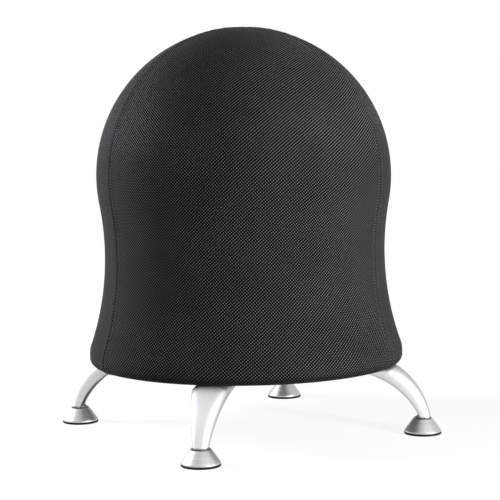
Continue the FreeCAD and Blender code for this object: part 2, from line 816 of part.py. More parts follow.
def make_nuts():
    prism = doc.addObject("Part::Prism", "nut_prism")
    bind(prism, Circumradius=d.nut_flats / math.sqrt(3), Height=d.nut_height)
    prism.Placement.Rotation = FreeCAD.Rotation(UP, 30)
    bore = upright_drill("nut_bore", NIL, NIL, d.stud_radius + d.stud_clearance, -d.nut_height, d.nut_height * 3)
    nut = doc.addObject("Part::Cut", "nut_pattern_piece")
    nut.Base = prism
    nut.Tool = bore
    nut_seat = v.foot_height + v.lug_thickness
    copies("glide_nuts", nut, [glide_place(turn, nut_seat) for turn in LEG_TURNS.values()])


def make_glide(where, turn):
    lip = d.pad_thickness + d.cone_lip
    cone_top = d.pad_thickness + d.cone_height
    web = cone_top - d.cone_web
    stud_hole = d.stud_radius + d.stud_clearance
    slope = (d.cone_base_radius - d.cone_top_radius) / (d.cone_height - d.cone_lip)
    roof_radius = d.cone_base_radius - slope * (web - lip) - d.cone_wall
    mouth_radius = d.cone_base_radius - d.cone_wall
    pad = spun_body(f"pad_{where}", [
        (NIL, NIL), (d.pad_radius - d.pad_chamfer, NIL), (d.pad_radius, d.pad_chamfer),
        (d.pad_radius, d.pad_thickness - d.pad_chamfer), (d.pad_radius - d.pad_chamfer, d.pad_thickness),
        (mouth_radius - d.seat_gap, d.pad_thickness), (mouth_radius - d.seat_gap, lip - d.seat_gap),
        (NIL, lip - d.seat_gap),
    ])
    cone = spun_body(f"cone_{where}", [
        (mouth_radius, d.pad_thickness), (d.cone_base_radius, d.pad_thickness), (d.cone_base_radius, lip),
        (d.cone_top_radius, cone_top), (stud_hole, cone_top), (stud_hole, web), (roof_radius, web),
        (mouth_radius, lip),
    ])
    flange_top = web - d.seat_gap
    stud_top = d.foot_height + d.lug_thickness + d.nut_height + d.stud_above_nut
    stud = spun_body(f"stud_{where}", [
        (NIL, flange_top - d.stud_flange_thickness), (d.stud_flange_radius, flange_top - d.stud_flange_thickness),
        (d.stud_flange_radius, flange_top), (d.stud_radius, flange_top),
        (d.stud_radius, stud_top - d.stud_radius * 0.4), (d.stud_radius * 0.6, stud_top), (NIL, stud_top),
    ])
    collar = spun_body(f"collar_{where}", [
        (stud_hole, cone_top), (d.collar_radius, cone_top), (d.collar_radius, cone_top + d.collar_thickness),
        (stud_hole, cone_top + d.collar_thickness),
    ])
    for piece in (pad, cone, stud, collar):
        keep(piece)
        piece.Placement = glide_place(turn, 0)


# Zip
def make_zip():
    cloth_back = -v.cover_thickness - v.tape_offset
    low, high = zip_low, zip_high
    stop_angle = along_skirt(v.stop_length)
    set_shape("zip_coil", zip_strip(v.coil_half_width, cloth_back, v.coil_proud, low + stop_angle, high - stop_angle))
    set_shape("zip_tape", zip_strip(v.tape_half_width, cloth_back - v.tape_thickness, cloth_back, low, high))
    stops = [
        zip_strip(v.coil_half_width, cloth_back, v.coil_proud + v.slider_ride, low, low + stop_angle),
        zip_strip(v.coil_half_width, cloth_back, v.coil_proud + v.slider_ride, high - stop_angle, high),
    ]
    set_shape("zip_stops", Part.makeCompound(stops))

    frame = zip_frame(zip_rest)
    plate_low = v.coil_proud + v.slider_ride
    plate_high = plate_low + v.slider_plate
    plate = Part.makeBox(v.slider_length, v.slider_width, v.slider_plate,
                         Vec(-v.slider_length / 2, -v.slider_width / 2, plate_low))
    corners = [edge for edge in plate.Edges if abs(edge.Vertexes[0].Z - edge.Vertexes[1].Z) > v.slider_plate / 2]
    plate = plate.makeFillet(v.slider_width / 4, corners)
    pin_z = plate_high + v.pin_height
    solids = [plate]
    for side in (-1, 1):
        middle = side * (v.lug_spacing + v.lug_width) / 2
        solids.append(Part.makeBox(2 * v.lug_height, v.lug_width, v.lug_height,
                                   Vec(-v.lug_height, middle - v.lug_width / 2, plate_high)))
    pin_span = v.lug_spacing + 2 * v.lug_width
    solids.append(Part.makeCylinder(v.pin_radius, pin_span, Vec(0, -pin_span / 2, pin_z), Vec(0, 1, 0)))
    slider = solids[0].multiFuse(solids[1:]).removeSplitter()
    slider.Placement = frame
    set_shape("zip_slider", slider)

    # the tab hangs plumb from its pin
    hole = v.pin_radius + v.pin_clearance
    neck = v.lug_spacing - 2 * v.tab_side_gap
    eye = Part.makeCylinder(v.tab_eye_radius, neck, Vec(0, -neck / 2, 0), Vec(0, 1, 0))
    shank_length = v.slider_length / 2
    shank = Part.makeBox(shank_length, neck, v.tab_thickness, Vec(-shank_length, -neck / 2, -v.tab_thickness / 2))
    grip_length = v.tab_length - shank_length
    grip = Part.makeBox(grip_length, v.tab_width, v.tab_thickness,
                        Vec(-v.tab_length, -v.tab_width / 2, -v.tab_thickness / 2))
    ends = [edge for edge in grip.Edges if abs(edge.Vertexes[0].Z - edge.Vertexes[1].Z) > v.tab_thickness / 2]
    grip = grip.makeFillet(v.tab_width / 4, ends)
    bore = Part.makeCylinder(hole, 2 * neck, Vec(0, -neck, 0), Vec(0, 1, 0))
    tab = eye.multiFuse([shank, grip]).removeSplitter().cut(bore)
    upright = FreeCAD.Rotation(UP, zip_side, zip_out, "ZXY")
    tab.Placement = FreeCAD.Placement(frame.multVec(Vec(0, 0, pin_z)), upright)
    set_shape("zip_tab", tab)


make_cover()
make_ball()
make_base()
for where, turn in LEG_TURNS.items():
    make_leg(where, turn)
make_leg_screws()
make_nuts()
for where, turn in LEG_TURNS.items():
    make_glide(where, turn)
make_zip()
doc.recompute()

# Every object and every sub-part is sound before a file is written
for thing in doc.Objects:
    if "Invalid" in thing.State or "Error" in thing.State:
        raise RuntimeError(f"{thing.Label} did not recompute: {thing.State}")
for thing in parts:
    shape = thing.Shape
    if shape.isNull() or not shape.isValid() or shape.Volume <= 0:
        raise RuntimeError(f"{thing.Label} has no sound solid")

os.makedirs("parts", exist_ok=True)
for thing in parts:
    shape = thing.Shape
    shape.exportStep(f"parts/{thing.Label}.step")
    box = shape.BoundBox
    print(f"{thing.Label:22s} {len(shape.Solids):3d} solids {shape.Volume / 1000:10.2f} cm3"
          f"  x {box.XMin:8.2f} {box.XMax:8.2f}  y {box.YMin:8.2f} {box.YMax:8.2f}  z {box.ZMin:8.2f} {box.ZMax:8.2f}")
inside = Part.makeSolid(spun_face(ball_edges(v.ball_wall), 0, 360).Shells[0]).Volume
print(f"air in the ball {inside / 1e6:.2f} litres, as a sphere {(6 * inside / math.pi) ** (1 / 3):.1f} mm across")
print(f"waist radius {skirt_centre.x - v.skirt_arc_radius:.2f} at height {skirt_centre.z:.2f}")
print(f"skirt arc's centre {skirt_centre.x:.4f}, {skirt_centre.z:.4f}, leaving the dome {math.degrees(flank_fall):.3f} down")
print(f"zip from {zip_low:.3f} to {zip_high:.3f}, slider at {zip_rest:.3f}, with {zip_travel:.3f} degrees of travel")
pin = zip_frame(zip_rest).multVec(UP * (v.coil_proud + v.slider_ride + v.slider_plate + v.pin_height))
print(f"slider turns about {zip_axis_point}, tab's pin at {pin}")
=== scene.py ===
# %% [markdown]
# # Balance ball chair
# A ball chair is a soft seat on a hard base. An inflated ball stands on a round board, a sewn cover of
# black spacer mesh is pulled down over both, and four arched metal legs are screwed under the board.
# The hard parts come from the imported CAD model, which stays exactly where it is. This script dresses
# it: it sews the cover, makes the zip, casts the legs, turns the feet, and gives every surface its
# finish.

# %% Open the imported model
import math

import bmesh
import bpy
import numpy as np
from mathutils import Matrix, Vector


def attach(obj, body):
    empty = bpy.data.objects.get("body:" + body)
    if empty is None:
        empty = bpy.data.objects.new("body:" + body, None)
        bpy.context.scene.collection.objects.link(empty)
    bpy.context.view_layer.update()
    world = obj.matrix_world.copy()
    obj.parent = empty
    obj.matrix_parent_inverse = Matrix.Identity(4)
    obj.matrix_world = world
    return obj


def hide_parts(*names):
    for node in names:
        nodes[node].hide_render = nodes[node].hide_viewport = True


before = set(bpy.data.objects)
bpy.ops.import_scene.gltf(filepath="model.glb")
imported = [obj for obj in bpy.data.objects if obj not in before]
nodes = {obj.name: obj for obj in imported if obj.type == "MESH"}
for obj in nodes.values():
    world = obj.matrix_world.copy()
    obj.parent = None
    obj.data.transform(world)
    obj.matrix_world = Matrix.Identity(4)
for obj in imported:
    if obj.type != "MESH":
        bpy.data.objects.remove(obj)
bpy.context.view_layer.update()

MM = 0.001

# %% [markdown]
# ## The camera
# The view is a pinhole camera fitted to the four feet and the outline of the cover: it stands 2.26 m
# away, a little to the right of the front leg, and looks slightly down. Turns on this chair are counted
# in degrees from the front leg, anticlockwise from above, so 90 is the right leg, along +X.

# %% Set up the camera
VIEW_TURN = 13.7
CAMERA_DISTANCE = 2.2601
CAMERA_HEIGHT = 0.4512
CAMERA_YAW = 0.19376
CAMERA_PITCH = 4.78976
CAMERA_ROLL = -0.7903
FOCAL_PIXELS = 1554.28
FRAME_PIXELS = 500
SENSOR_WIDTH = 36.0


def outward(turn):
    """The level direction at a turn: its sine along X and minus its cosine along Y."""
    angle = math.radians(turn)
    return Vector((math.sin(angle), -math.cos(angle), 0))


def place_camera():
    """Builds the camera's axes from yaw, pitch and roll, then turns them about the chair's axis."""
    yaw, pitch, roll = (math.radians(angle) for angle in (CAMERA_YAW, CAMERA_PITCH, CAMERA_ROLL))
    ahead = Vector((math.sin(yaw) * math.cos(pitch), math.cos(yaw) * math.cos(pitch), -math.sin(pitch)))
    level = Vector((math.cos(yaw), -math.sin(yaw), 0))
    above = level.cross(ahead)
    right = level * math.cos(roll) + above * math.sin(roll)
    up = above * math.cos(roll) - level * math.sin(roll)
    axes = Matrix((right, up, -ahead)).transposed()
    spin = Matrix.Rotation(math.radians(VIEW_TURN), 3, "Z")
    spot = outward(VIEW_TURN) * CAMERA_DISTANCE + Vector((0, 0, CAMERA_HEIGHT))
    camera = bpy.data.objects.new("camera", bpy.data.cameras.new("camera"))
    camera.data.sensor_width = SENSOR_WIDTH
    camera.data.lens = FOCAL_PIXELS / FRAME_PIXELS * SENSOR_WIDTH
    camera.matrix_world = Matrix.Translation(spot) @ (spin @ axes).to_4x4()
    bpy.context.collection.objects.link(camera)
    bpy.context.scene.camera = camera
    return camera


camera = place_camera()
print(f"lens {camera.data.lens:.1f} mm at {tuple(round(x, 3) for x in camera.location)}")

# %% [markdown]
# ## From numbers to meshes
# Every new piece is a surface worked out with numpy: whole arrays of points on a grid of two
# parameters. These helpers turn such a grid into a mesh, and say which body it rides on and which CAD
# node it stands for.

# %% Helpers for meshes


def joined(*parts):
    """Arrays side by side as the columns of points, each first stretched to the shape they share."""
    return np.stack(np.broadcast_arrays(*parts), axis=-1)


def run_along(line):
    """How far along a line each of its points is: the lengths of the steps so far, added up."""
    return np.concatenate([[0], np.cumsum(np.linalg.norm(np.diff(line, axis=0), axis=1))])


def grid_quads(rows, columns, around=False):
    """Corners of a grid's quads. Point (i, j) is number i * columns + j; around joins the last column
    to the first."""
    last = columns if around else columns - 1
    row, column = np.meshgrid(np.arange(rows - 1), np.arange(last), indexing="ij")
    here, below = row * columns, (row + 1) * columns
    ahead = (column + 1) % columns
    return joined(here + column, here + ahead, below + ahead, below + column).reshape(-1, 4)


def mesh_piece(name, points, quads, body, uv=None, stands_for=(), weld=0.0, smooth=True):
    """Makes an object from points and quads, puts it on its body and hides the CAD nodes it stands for.
    uv holds one pair per point, in metres of cloth. weld merges points closer than that distance."""
    mesh = bpy.data.meshes.new(name)
    mesh.from_pydata(points.reshape(-1, 3).tolist(), [], quads.tolist())
    if uv is not None:
        layer = mesh.uv_layers.new(name="cloth")
        layer.data.foreach_set("uv", uv.reshape(-1, 2)[quads.ravel()].ravel())
    if weld:
        work = bmesh.new()
        work.from_mesh(mesh)
        bmesh.ops.remove_doubles(work, verts=work.verts, dist=weld)
        work.to_mesh(mesh)
        work.free()
    mesh.polygons.foreach_set("use_smooth", [smooth] * len(mesh.polygons))
    mesh.update()
    piece = bpy.data.objects.new(name, mesh)
    bpy.context.collection.objects.link(piece)
    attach(piece, body)
    if stands_for:
        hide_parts(*stands_for)
    return piece


def thicken(piece, thickness):
    """Gives a sheet its thickness on the side away from its normals."""
    solidify = piece.modifiers.new("thickness", "SOLIDIFY")
    solidify.thickness = thickness
    solidify.offset = -1
    solidify.use_even_offset = True


def smooth_step(x, low, high):
    """Nothing below low, one above high, and a smooth rise between: 3t squared less 2t cubed."""
    t = np.clip((x - low) / (high - low), 0, 1)
    return t * t * (3 - 2 * t)


def rounded_profile(corners, rounds, steps=5):
    """A profile of radius and height with each inner corner cut to a curve: for each corner, a curve
    starts and ends at its rounding distance along the two sides and bends as a parabola between."""
    corners = [np.array(corner, float) for corner in corners]
    line = [corners[0][None]]
    for before, corner, after, size in zip(corners, corners[1:], corners[2:], rounds):
        back, ahead = before - corner, after - corner
        start = corner + back / np.linalg.norm(back) * size
        end = corner + ahead / np.linalg.norm(ahead) * size
        t = np.linspace(0, 1, steps)[:, None]
        line.append(start * (1 - t) ** 2 + corner * 2 * t * (1 - t) + end * t ** 2)
    line.append(corners[-1][None])
    return np.concatenate(line)


def even_turns(columns):
    """Angles at even steps once round a circle."""
    return np.linspace(0, 2 * np.pi, columns, endpoint=False)[None]


def spun(radius, height, columns, centre=(0, 0)):
    """Rings of points round a vertical axis: radius times the cosine and the sine, and the height as it
    is. With the outside on the profile's right, the quads point outwards as they come."""
    angle = even_turns(columns)
    return joined(centre[0] + radius * np.cos(angle), centre[1] + radius * np.sin(angle), height)


print("helpers ready")

# %% [markdown]
# ## The outline of the cover
# Seen from the side, the cover is a dome, then a long hollow curve at the waist, then a small round
# over the edge of the base, and a tight round that turns in under it. Each is an arc of a circle that
# starts where the last one ends, in the same direction. The outline is kept as a table of radius and
# height against the run: the length of cloth from the crown down.

# %% Work out the outline
DOME = (0.0, 370.8, 213.4)
SKIRT = (603.3957, 260.4678, 400.0)
HEM_UPPER = (198.0, 117.1, 30.0)
HEM_LOWER = (216.4, 110.5, 11.6)
UNDER_EDGE = 208.0


def arc_points(circle, start, end, count):
    """Points on a circle from one angle to another: centre plus radius times cosine and sine."""
    angle = np.radians(np.linspace(start, end, count))
    return joined(circle[0] + circle[2] * np.cos(angle), circle[1] + circle[2] * np.sin(angle))


dome_angle = math.degrees(math.atan2(SKIRT[1] - DOME[1], SKIRT[0] - DOME[0]))
hem_angle = math.degrees(math.atan2(SKIRT[1] - HEM_UPPER[1], SKIRT[0] - HEM_UPPER[0]))
outline = MM * np.concatenate([
    arc_points(DOME, 90, dome_angle, 900),
    arc_points(SKIRT, 180 + dome_angle, 180 + hem_angle, 500)[1:],
    arc_points(HEM_UPPER, hem_angle, 0, 60)[1:],
    arc_points(HEM_LOWER, 0, -90, 90),
    [[UNDER_EDGE, HEM_LOWER[1] - HEM_LOWER[2]]],
])
outline_run = run_along(outline)
CLOTH_RUN = outline_run[-1]
tangent = np.gradient(outline, outline_run, axis=0)
tangent /= np.linalg.norm(tangent, axis=1)[:, None]
outline_normal = joined(-tangent[:, 1], tangent[:, 0])


def on_outline(table, run):
    """Reads a table of pairs at any run, straight between its rows."""
    return np.interp(run, outline_run, table[:, 0]), np.interp(run, outline_run, table[:, 1])


def run_at_height(height):
    """The run at which the outline, going down, first reaches a height."""
    return float(np.interp(-height, -outline[:, 1], outline_run))


def cloth_point(turn, run, lift=0.0):
    """A point of the cover: the outline's radius and height, plus a lift along its normal, turned about
    the chair's axis. turn is in radians."""
    radius, height = on_outline(outline, run)
    out, up = on_outline(outline_normal, run)
    reach = radius + lift * out
    return joined(reach * np.sin(turn), -reach * np.cos(turn), height + lift * up)


print(f"cloth run {CLOTH_RUN * 1000:.0f} mm, waist radius {SKIRT[0] - SKIRT[2]:.1f} mm")

# %% [markdown]
# ## The three cover panels
# The cover is cut as three upright panels. Their seams are pressed open and stitched down on each side,
# so each seam is a narrow crease between two low ridges, where the cloth lies double. The back seam
# parts round a zip. One function of the turn and the run gives a whole panel: points crowd towards the
# seams, where the shape is, and the lift is the sum of the ridge, the crease and the stitch grooves.

# %% Sew the panels
COVER_TURN = 14.8
EQUATOR_RUN = math.pi / 2 * DOME[2] * MM
FRONT_ANGLE = 123.8
LEFT_SEAM = COVER_TURN - FRONT_ANGLE / 2
RIGHT_SEAM = COVER_TURN + FRONT_ANGLE / 2
BACK_SEAM = COVER_TURN + 180
SEAM_ALLOWANCE = 8.0 * MM
STITCH_INSET = 6.0 * MM
CLOTH_THICKNESS = 2.6 * MM
PANEL_ROWS, HEM_ROWS, HEM_START = 205, 36, 0.13
ZIP_SLOT = 3.2 * MM
ZIP_LOW, ZIP_HIGH, SLIDER_ANGLE = (math.radians(angle) for angle in (-19.304, 6.480, 5.163))


def zip_run(angle):
    """The run of the cloth at an angle on the skirt's arc."""
    return run_at_height(MM * (SKIRT[1] + SKIRT[2] * math.sin(angle)))


ZIP_TOP_RUN, ZIP_END_RUN = zip_run(ZIP_HIGH), zip_run(ZIP_LOW)


def zip_opening(run):
    """Half the width that the back seam is open: the slot's, tapering to nothing just past its ends."""
    inside = smooth_step(run, ZIP_TOP_RUN - 5 * MM, ZIP_TOP_RUN + MM)
    return ZIP_SLOT * inside * (1 - smooth_step(run, ZIP_END_RUN - MM, ZIP_END_RUN + 5 * MM))


def seam_lift(away, run):
    """Height of the cloth above its outline, at a distance from its sewn edge: a ridge where it lies
    double, less a crease at the edge and a groove under the stitches, plus a slight pucker."""
    ridge = 0.5 * MM * (1 - smooth_step(away, SEAM_ALLOWANCE - 1 * MM, SEAM_ALLOWANCE + 2.5 * MM))
    crease = 0.9 * MM * np.exp(-(away / (1.0 * MM)) ** 2)
    groove = 0.25 * MM * np.exp(-((away - STITCH_INSET) / (0.9 * MM)) ** 2)
    ripple = np.sin(run / (2.1 * MM)) + np.sin(run / (3.4 * MM) + 1)
    pucker = 0.16 * MM * np.exp(-(away / (13 * MM)) ** 2) * ripple
    return ridge - crease - groove + pucker


def panel_shares(edge_columns=15, middle_columns=58, edge_share=0.09):
    """Shares of a panel's width, close together at both edges and even between."""
    edge = edge_share * np.linspace(0, 1, edge_columns, endpoint=False) ** 1.35
    middle = np.linspace(edge_share, 1 - edge_share, middle_columns)
    return np.concatenate([edge, middle, (1 - edge)[::-1]])


def cloth_lie(turn, run, radius, height, skew):
    """The cloth map of a panel: a distance across the cloth from its middle line, and one along it.
    Over the dome the columns of knitting stay parallel, so across is the turn times the radius there.
    Down the skirt they fan out with the cover, so the radius is held at the dome's largest.
    Along is the run, less a skew that rises across, less a bow that grows with across squared: the
    rows droop towards the seams, as flat cloth does when it is pulled over a ball."""
    reach = np.where(run < EQUATOR_RUN, radius, DOME[2] * MM)
    across = turn * reach
    bow = 0.15 + 1.15 * smooth_step(height, 0.2, 0.4)
    return joined(across, run - skew * across - bow / 2 * across ** 2)


def sew_panel(name, start, end, skew, zip_at_start, zip_at_end):
    """One panel between two seams, knitted a little askew as cloth off a roll is. The rows of points
    are closer together round the hem. The last of them turns up into the bag."""
    start, end = math.radians(start), math.radians(end)
    hem_start = run_at_height(HEM_START)
    run = np.concatenate([
        np.linspace(0, hem_start, PANEL_ROWS, endpoint=False),
        np.linspace(hem_start, CLOTH_RUN, HEM_ROWS),
    ])[:, None]
    radius = on_outline(outline, run)[0]
    safe = np.maximum(radius, 0.02)
    first = start + zip_at_start * zip_opening(run) / safe
    last = end - zip_at_end * zip_opening(run) / safe
    share = panel_shares()[None]
    turn = first + (last - first) * share
    away = np.minimum(share, 1 - share) * (last - first) * radius
    lift = seam_lift(away, run) * smooth_step(run, -4 * MM, 6 * MM)
    lift = lift - 1.6 * MM * np.exp(-((CLOTH_RUN - run) / (1.5 * MM)) ** 2)
    points = cloth_point(turn, run, lift)
    uv = cloth_lie(turn - (start + end) / 2, run, radius, on_outline(outline, run)[1], skew)
    rows, columns = turn.shape
    piece = mesh_piece(
        name, points, grid_quads(rows, columns)[:, ::-1], "chair", uv=uv,
        stands_for=[name.replace("_cloth", "")], weld=1e-6,
    )
    thicken(piece, CLOTH_THICKNESS)
    return piece


panels = [
    sew_panel("cover_front_panel_cloth", LEFT_SEAM, RIGHT_SEAM, 0.15, 0, 0),
    sew_panel("cover_right_panel_cloth", RIGHT_SEAM, BACK_SEAM, -0.06, 0, 1),
    sew_panel("cover_left_panel_cloth", BACK_SEAM, LEFT_SEAM + 360, 0.08, 1, 0),
]
print("panels:", [(panel.name, len(panel.data.polygons)) for panel in panels])

# %% [markdown]
# ## Stitches
# The seams are held by two rows of lockstitch. A stitch is a short length of thread that dips into the
# cloth at both ends, so one is a thin rod bent down at its ends, and a row is that rod repeated. All of
# them are made as one array: every stitch's middle, direction and normal, times the rod's own points.

# %% Stitch the seams
STITCH_PITCH = 3.9 * MM
STITCH_LENGTH = 3.0 * MM
THREAD_RADIUS = 0.3 * MM


def rod_template(rings=5, sides=6):
    """A rod of unit length and radius with narrowed ends: along, across and up, as three columns."""
    along = np.linspace(-0.5, 0.5, rings)[:, None]
    around = even_turns(sides)
    swell = np.sqrt(np.clip(1 - (2 * along) ** 6, 0.02, 1))
    points = joined(along, swell * np.cos(around), swell * np.sin(around))
    return points.reshape(-1, 3), grid_quads(rings, sides, around=True)


def repeat_quads(quads, point_count, copies):
    """The same quads for each copy, moved on by the number of points in a copy."""
    return (quads[None] + point_count * np.arange(copies)[:, None, None]).reshape(-1, 4)


def stitch_row(turn, runs, lift):
    """Rods laid down the cloth at a turn and a row of runs. Each end dips by the square of its distance
    from the middle."""
    rod, quads = rod_template()
    middle = cloth_point(turn, runs, lift)
    ahead = cloth_point(turn, runs + 0.5 * MM, lift) - middle
    ahead /= np.linalg.norm(ahead, axis=-1)[:, None]
    side = joined(np.cos(turn), np.sin(turn), 0)
    up = np.cross(side, ahead)
    dip = -0.7 * MM * (2 * rod[:, 0]) ** 2
    points = (
        middle[:, None]
        + ahead[:, None] * (rod[:, 0] * STITCH_LENGTH)[None, :, None]
        + side[:, None] * (rod[:, 1] * THREAD_RADIUS)[None, :, None]
        + up[:, None] * (rod[:, 2] * THREAD_RADIUS + dip)[None, :, None]
    )
    return points.reshape(-1, 3), repeat_quads(quads[:, ::-1], len(rod), len(runs))


def stitch_seams():
    """Two rows beside each seam, from near the crown to the hem."""
    runs = np.arange(26 * MM, CLOTH_RUN - 4 * MM, STITCH_PITCH)
    radius = on_outline(outline, runs)[0]
    points, quads, count = [], [], 0
    for seam in (LEFT_SEAM, RIGHT_SEAM, BACK_SEAM):
        opening = zip_opening(runs) if seam == BACK_SEAM else 0 * runs
        for side in (-1, 1):
            turn = math.radians(seam) + side * (STITCH_INSET + opening) / radius
            row_points, row_quads = stitch_row(turn, runs, seam_lift(STITCH_INSET, runs) + 0.25 * MM)
            points.append(row_points)
            quads.append(row_quads + count)
            count += len(row_points)
    return mesh_piece(
        "seam_stitches", np.concatenate(points), np.concatenate(quads), "chair",
    )


stitches = stitch_seams()
print("stitch quads:", len(stitches.data.polygons))

# %% [markdown]
# ## The cloth underneath
# A plain woven disc closes the bag under the base. It lies flat against the board, and turns up into
# the seam at its edge. The legs' plates clamp it.

# %% Close the bag underneath
UNDER_HEIGHT = 97.5


def make_bottom_cloth():
    """A disc of rings: its height is the underside's, lifted near the edge where it turns into the
    seam, with a faint ripple of gathers there."""
    radius = MM * np.concatenate([np.linspace(0.5, 200, 40), np.linspace(201, UNDER_EDGE, 14)])[:, None]
    turn = even_turns(180)
    edge = UNDER_EDGE * MM - radius
    height = UNDER_HEIGHT * MM + 1.6 * MM * np.exp(-(edge / (1.5 * MM)) ** 2)
    height = height + 0.1 * MM * np.exp(-(edge / (9 * MM)) ** 2) * np.sin(46 * turn)
    points = joined(radius * np.sin(turn), -radius * np.cos(turn), height)
    centre = np.zeros((1, points.shape[1], 3))
    centre[..., 2] = UNDER_HEIGHT * MM
    points = np.concatenate([centre, points])
    rows, columns = points.shape[:2]
    piece = mesh_piece(
        "cover_bottom_cloth", points, grid_quads(rows, columns, around=True), "chair",
        uv=points[..., :2], stands_for=["cover_bottom_panel"], weld=1e-6,
    )
    thicken(piece, 2.0 * MM)
    return piece


bottom_cloth = make_bottom_cloth()
print("bottom cloth quads:", len(bottom_cloth.data.polygons))

# %% [markdown]
# ## The ball
# The ball never shows, but it carries the sitter, so it is there: a thick vinyl skin with the shallow
# moulded grooves that such balls have. Its outline is the dome's circle, a flatter flank and a round
# heel down to the mat.

# %% Blow up the ball
BALL_DOME = (0.0, 370.8, 210.1)
BALL_LEAVES = -10.962
BALL_HEEL = (63.47, 218.8, 95.0)


def make_ball():
    """A spun profile of three tangent arcs, with grooves cut in by a sharpened cosine of the run."""
    leave = math.radians(BALL_LEAVES)
    way = np.array([math.cos(leave), math.sin(leave)])
    start = np.array(BALL_DOME[:2]) + way * BALL_DOME[2]
    from_heel = start - np.array(BALL_HEEL[:2])
    flank_radius = (from_heel @ from_heel - BALL_HEEL[2] ** 2) / (2 * (from_heel @ way - BALL_HEEL[2]))
    flank = (*(start - way * flank_radius), flank_radius)
    knee = math.degrees(math.atan2(BALL_HEEL[1] - flank[1], BALL_HEEL[0] - flank[0]))
    line = np.concatenate([
        arc_points(BALL_DOME, 89.9, BALL_LEAVES, 150), arc_points(flank, BALL_LEAVES, knee, 60)[1:],
        arc_points(BALL_HEEL, knee, -90, 50)[1:], [[0.2, BALL_HEEL[1] - BALL_HEEL[2]]],
    ])
    run = run_along(line)
    slope = np.gradient(line, run, axis=0)
    normal = joined(-slope[:, 1], slope[:, 0])
    groove = 0.7 * np.maximum(0, np.cos(2 * np.pi * run / 22)) ** 12 * (run > 60) * (line[:, 1] > 150)
    profile = (line - normal * groove[:, None]) * MM
    points = spun(profile[:, :1], profile[:, 1:], 160)
    piece = mesh_piece(
        "ball_skin", points, grid_quads(*points.shape[:2], around=True)[:, ::-1], "chair",
        stands_for=["ball_shell"],
    )
    work = bmesh.new()
    work.from_mesh(piece.data)
    bmesh.ops.holes_fill(work, edges=[edge for edge in work.edges if edge.is_boundary], sides=0)
    work.to_mesh(piece.data)
    work.free()
    return piece


ball = make_ball()
print("ball quads:", len(ball.data.polygons))

# %% [markdown]
# ## The zip
# The ball goes in through a zip in the back seam. A coil zip is one nylon spiral sewn along each tape,
# and where it is closed, the two spirals mesh into a row of short bars. The tape is a flat woven strip
# behind them. Both follow the waist's arc, so their points are set out by an angle on that arc.

# %% Make the zip
TAPE_WIDTH, TAPE_DEPTH, CORD_INSET = 24 * MM, 3.7 * MM, 2.9 * MM
COIL_PITCH, COIL_STOP, COIL_DEPTH = 1.3 * MM, 2.6 * MM, 1.1 * MM
BAR_LENGTH, BAR_HALF_WIDTH, BAR_HALF_HEIGHT, BAR_SWAY = 4.4 * MM, 0.52 * MM, 0.6 * MM, 0.35 * MM


def on_zip(angle, across, out):
    """A point of the zip: on the skirt's arc at an angle, a distance across the seam, and a height out
    of the cloth. The arc's radius less the height swings about the arc's centre."""
    seam = math.radians(BACK_SEAM)
    reach = MM * SKIRT[0] - (MM * SKIRT[2] - out) * np.cos(angle)
    height = MM * SKIRT[1] + (MM * SKIRT[2] - out) * np.sin(angle)
    out_way, side_way = (math.sin(seam), -math.cos(seam)), (math.cos(seam), math.sin(seam))
    x, y = (reach * out_way[axis] + across * side_way[axis] for axis in (0, 1))
    return joined(x, y, height)


def make_zip_tape():
    """A thin strip, with two raised cords along its middle where the coil is sewn on."""
    angle = np.linspace(ZIP_LOW, ZIP_HIGH, 160)[:, None]
    across = TAPE_WIDTH * np.linspace(-0.5, 0.5, 60)[None]
    cords = 0.35 * MM * np.exp(-((np.abs(across) - CORD_INSET) / (0.5 * MM)) ** 2)
    points = on_zip(angle, across, cords - TAPE_DEPTH)
    uv = joined(across, angle * SKIRT[2] * MM)
    piece = mesh_piece(
        "zip_tape_cloth", points, grid_quads(*points.shape[:2])[:, ::-1], "chair", uv=uv,
        stands_for=["zip_tape"],
    )
    thicken(piece, 0.7 * MM)
    return piece


def make_zip_coil():
    """Meshed bars: each is a flattened rod across the seam, a little to the left or right in turn."""
    arc = MM * SKIRT[2]
    stop = COIL_STOP / arc
    angles = np.arange(ZIP_LOW + stop, ZIP_HIGH - stop, COIL_PITCH / arc)
    rod, quads = rod_template(rings=9, sides=8)
    along, wide, high = rod.T[:, None]
    sway = np.where(np.arange(len(angles)) % 2, BAR_SWAY, -BAR_SWAY)[:, None]
    swing = angles[:, None] + wide * BAR_HALF_WIDTH / arc
    bend = 1 - (2 * along) ** 4
    points = on_zip(swing, along * BAR_LENGTH + sway, (bend + high) * BAR_HALF_HEIGHT - COIL_DEPTH)
    return mesh_piece(
        "zip_coil_bars", points, repeat_quads(quads, len(rod), len(angles)), "chair",
        stands_for=["zip_coil"],
    )


zip_tape, zip_coil = make_zip_tape(), make_zip_coil()
print("zip quads:", len(zip_tape.data.polygons), len(zip_coil.data.polygons))

# %% [markdown]
# ## The legs
# A leg is an arched channel, open underneath. Seen from the side it has two lines, each an arc: the
# ridge along its back, and the open edge below. A half superellipse bridges from edge to ridge to edge.
# Its power of 3 lies between a circle's 2 and the endless power of a square, and gives full sides with
# soft corners. The channel widens from toe to root, as a quadratic of the height. A leg is worked out
# along +X in millimetres, and then turned to its place.

# %% Cast the legs
LEGS = {"front": 0, "right": 90, "back": 180, "left": 270}
FOOT_RADIUS = 259.04
RIDGE_ARC = (164.1, 5.2, 107.6)
EDGE_ARC = (153.1, -20.5, 112.2)
LEG_TOP, LEG_SOLE, LEG_ROOT, EDGE_START = 97.5, 23.3, 118.0, 86.1
TOE_HALF_WIDTH, WIDTH_SLOPE, WIDTH_CURVE = 10.6, 0.125, 0.00145
ROOT_WALL, TOE_WALL, SIDE_WALL = 4.0, 3.0, 3.4
LEG_POWER = 3


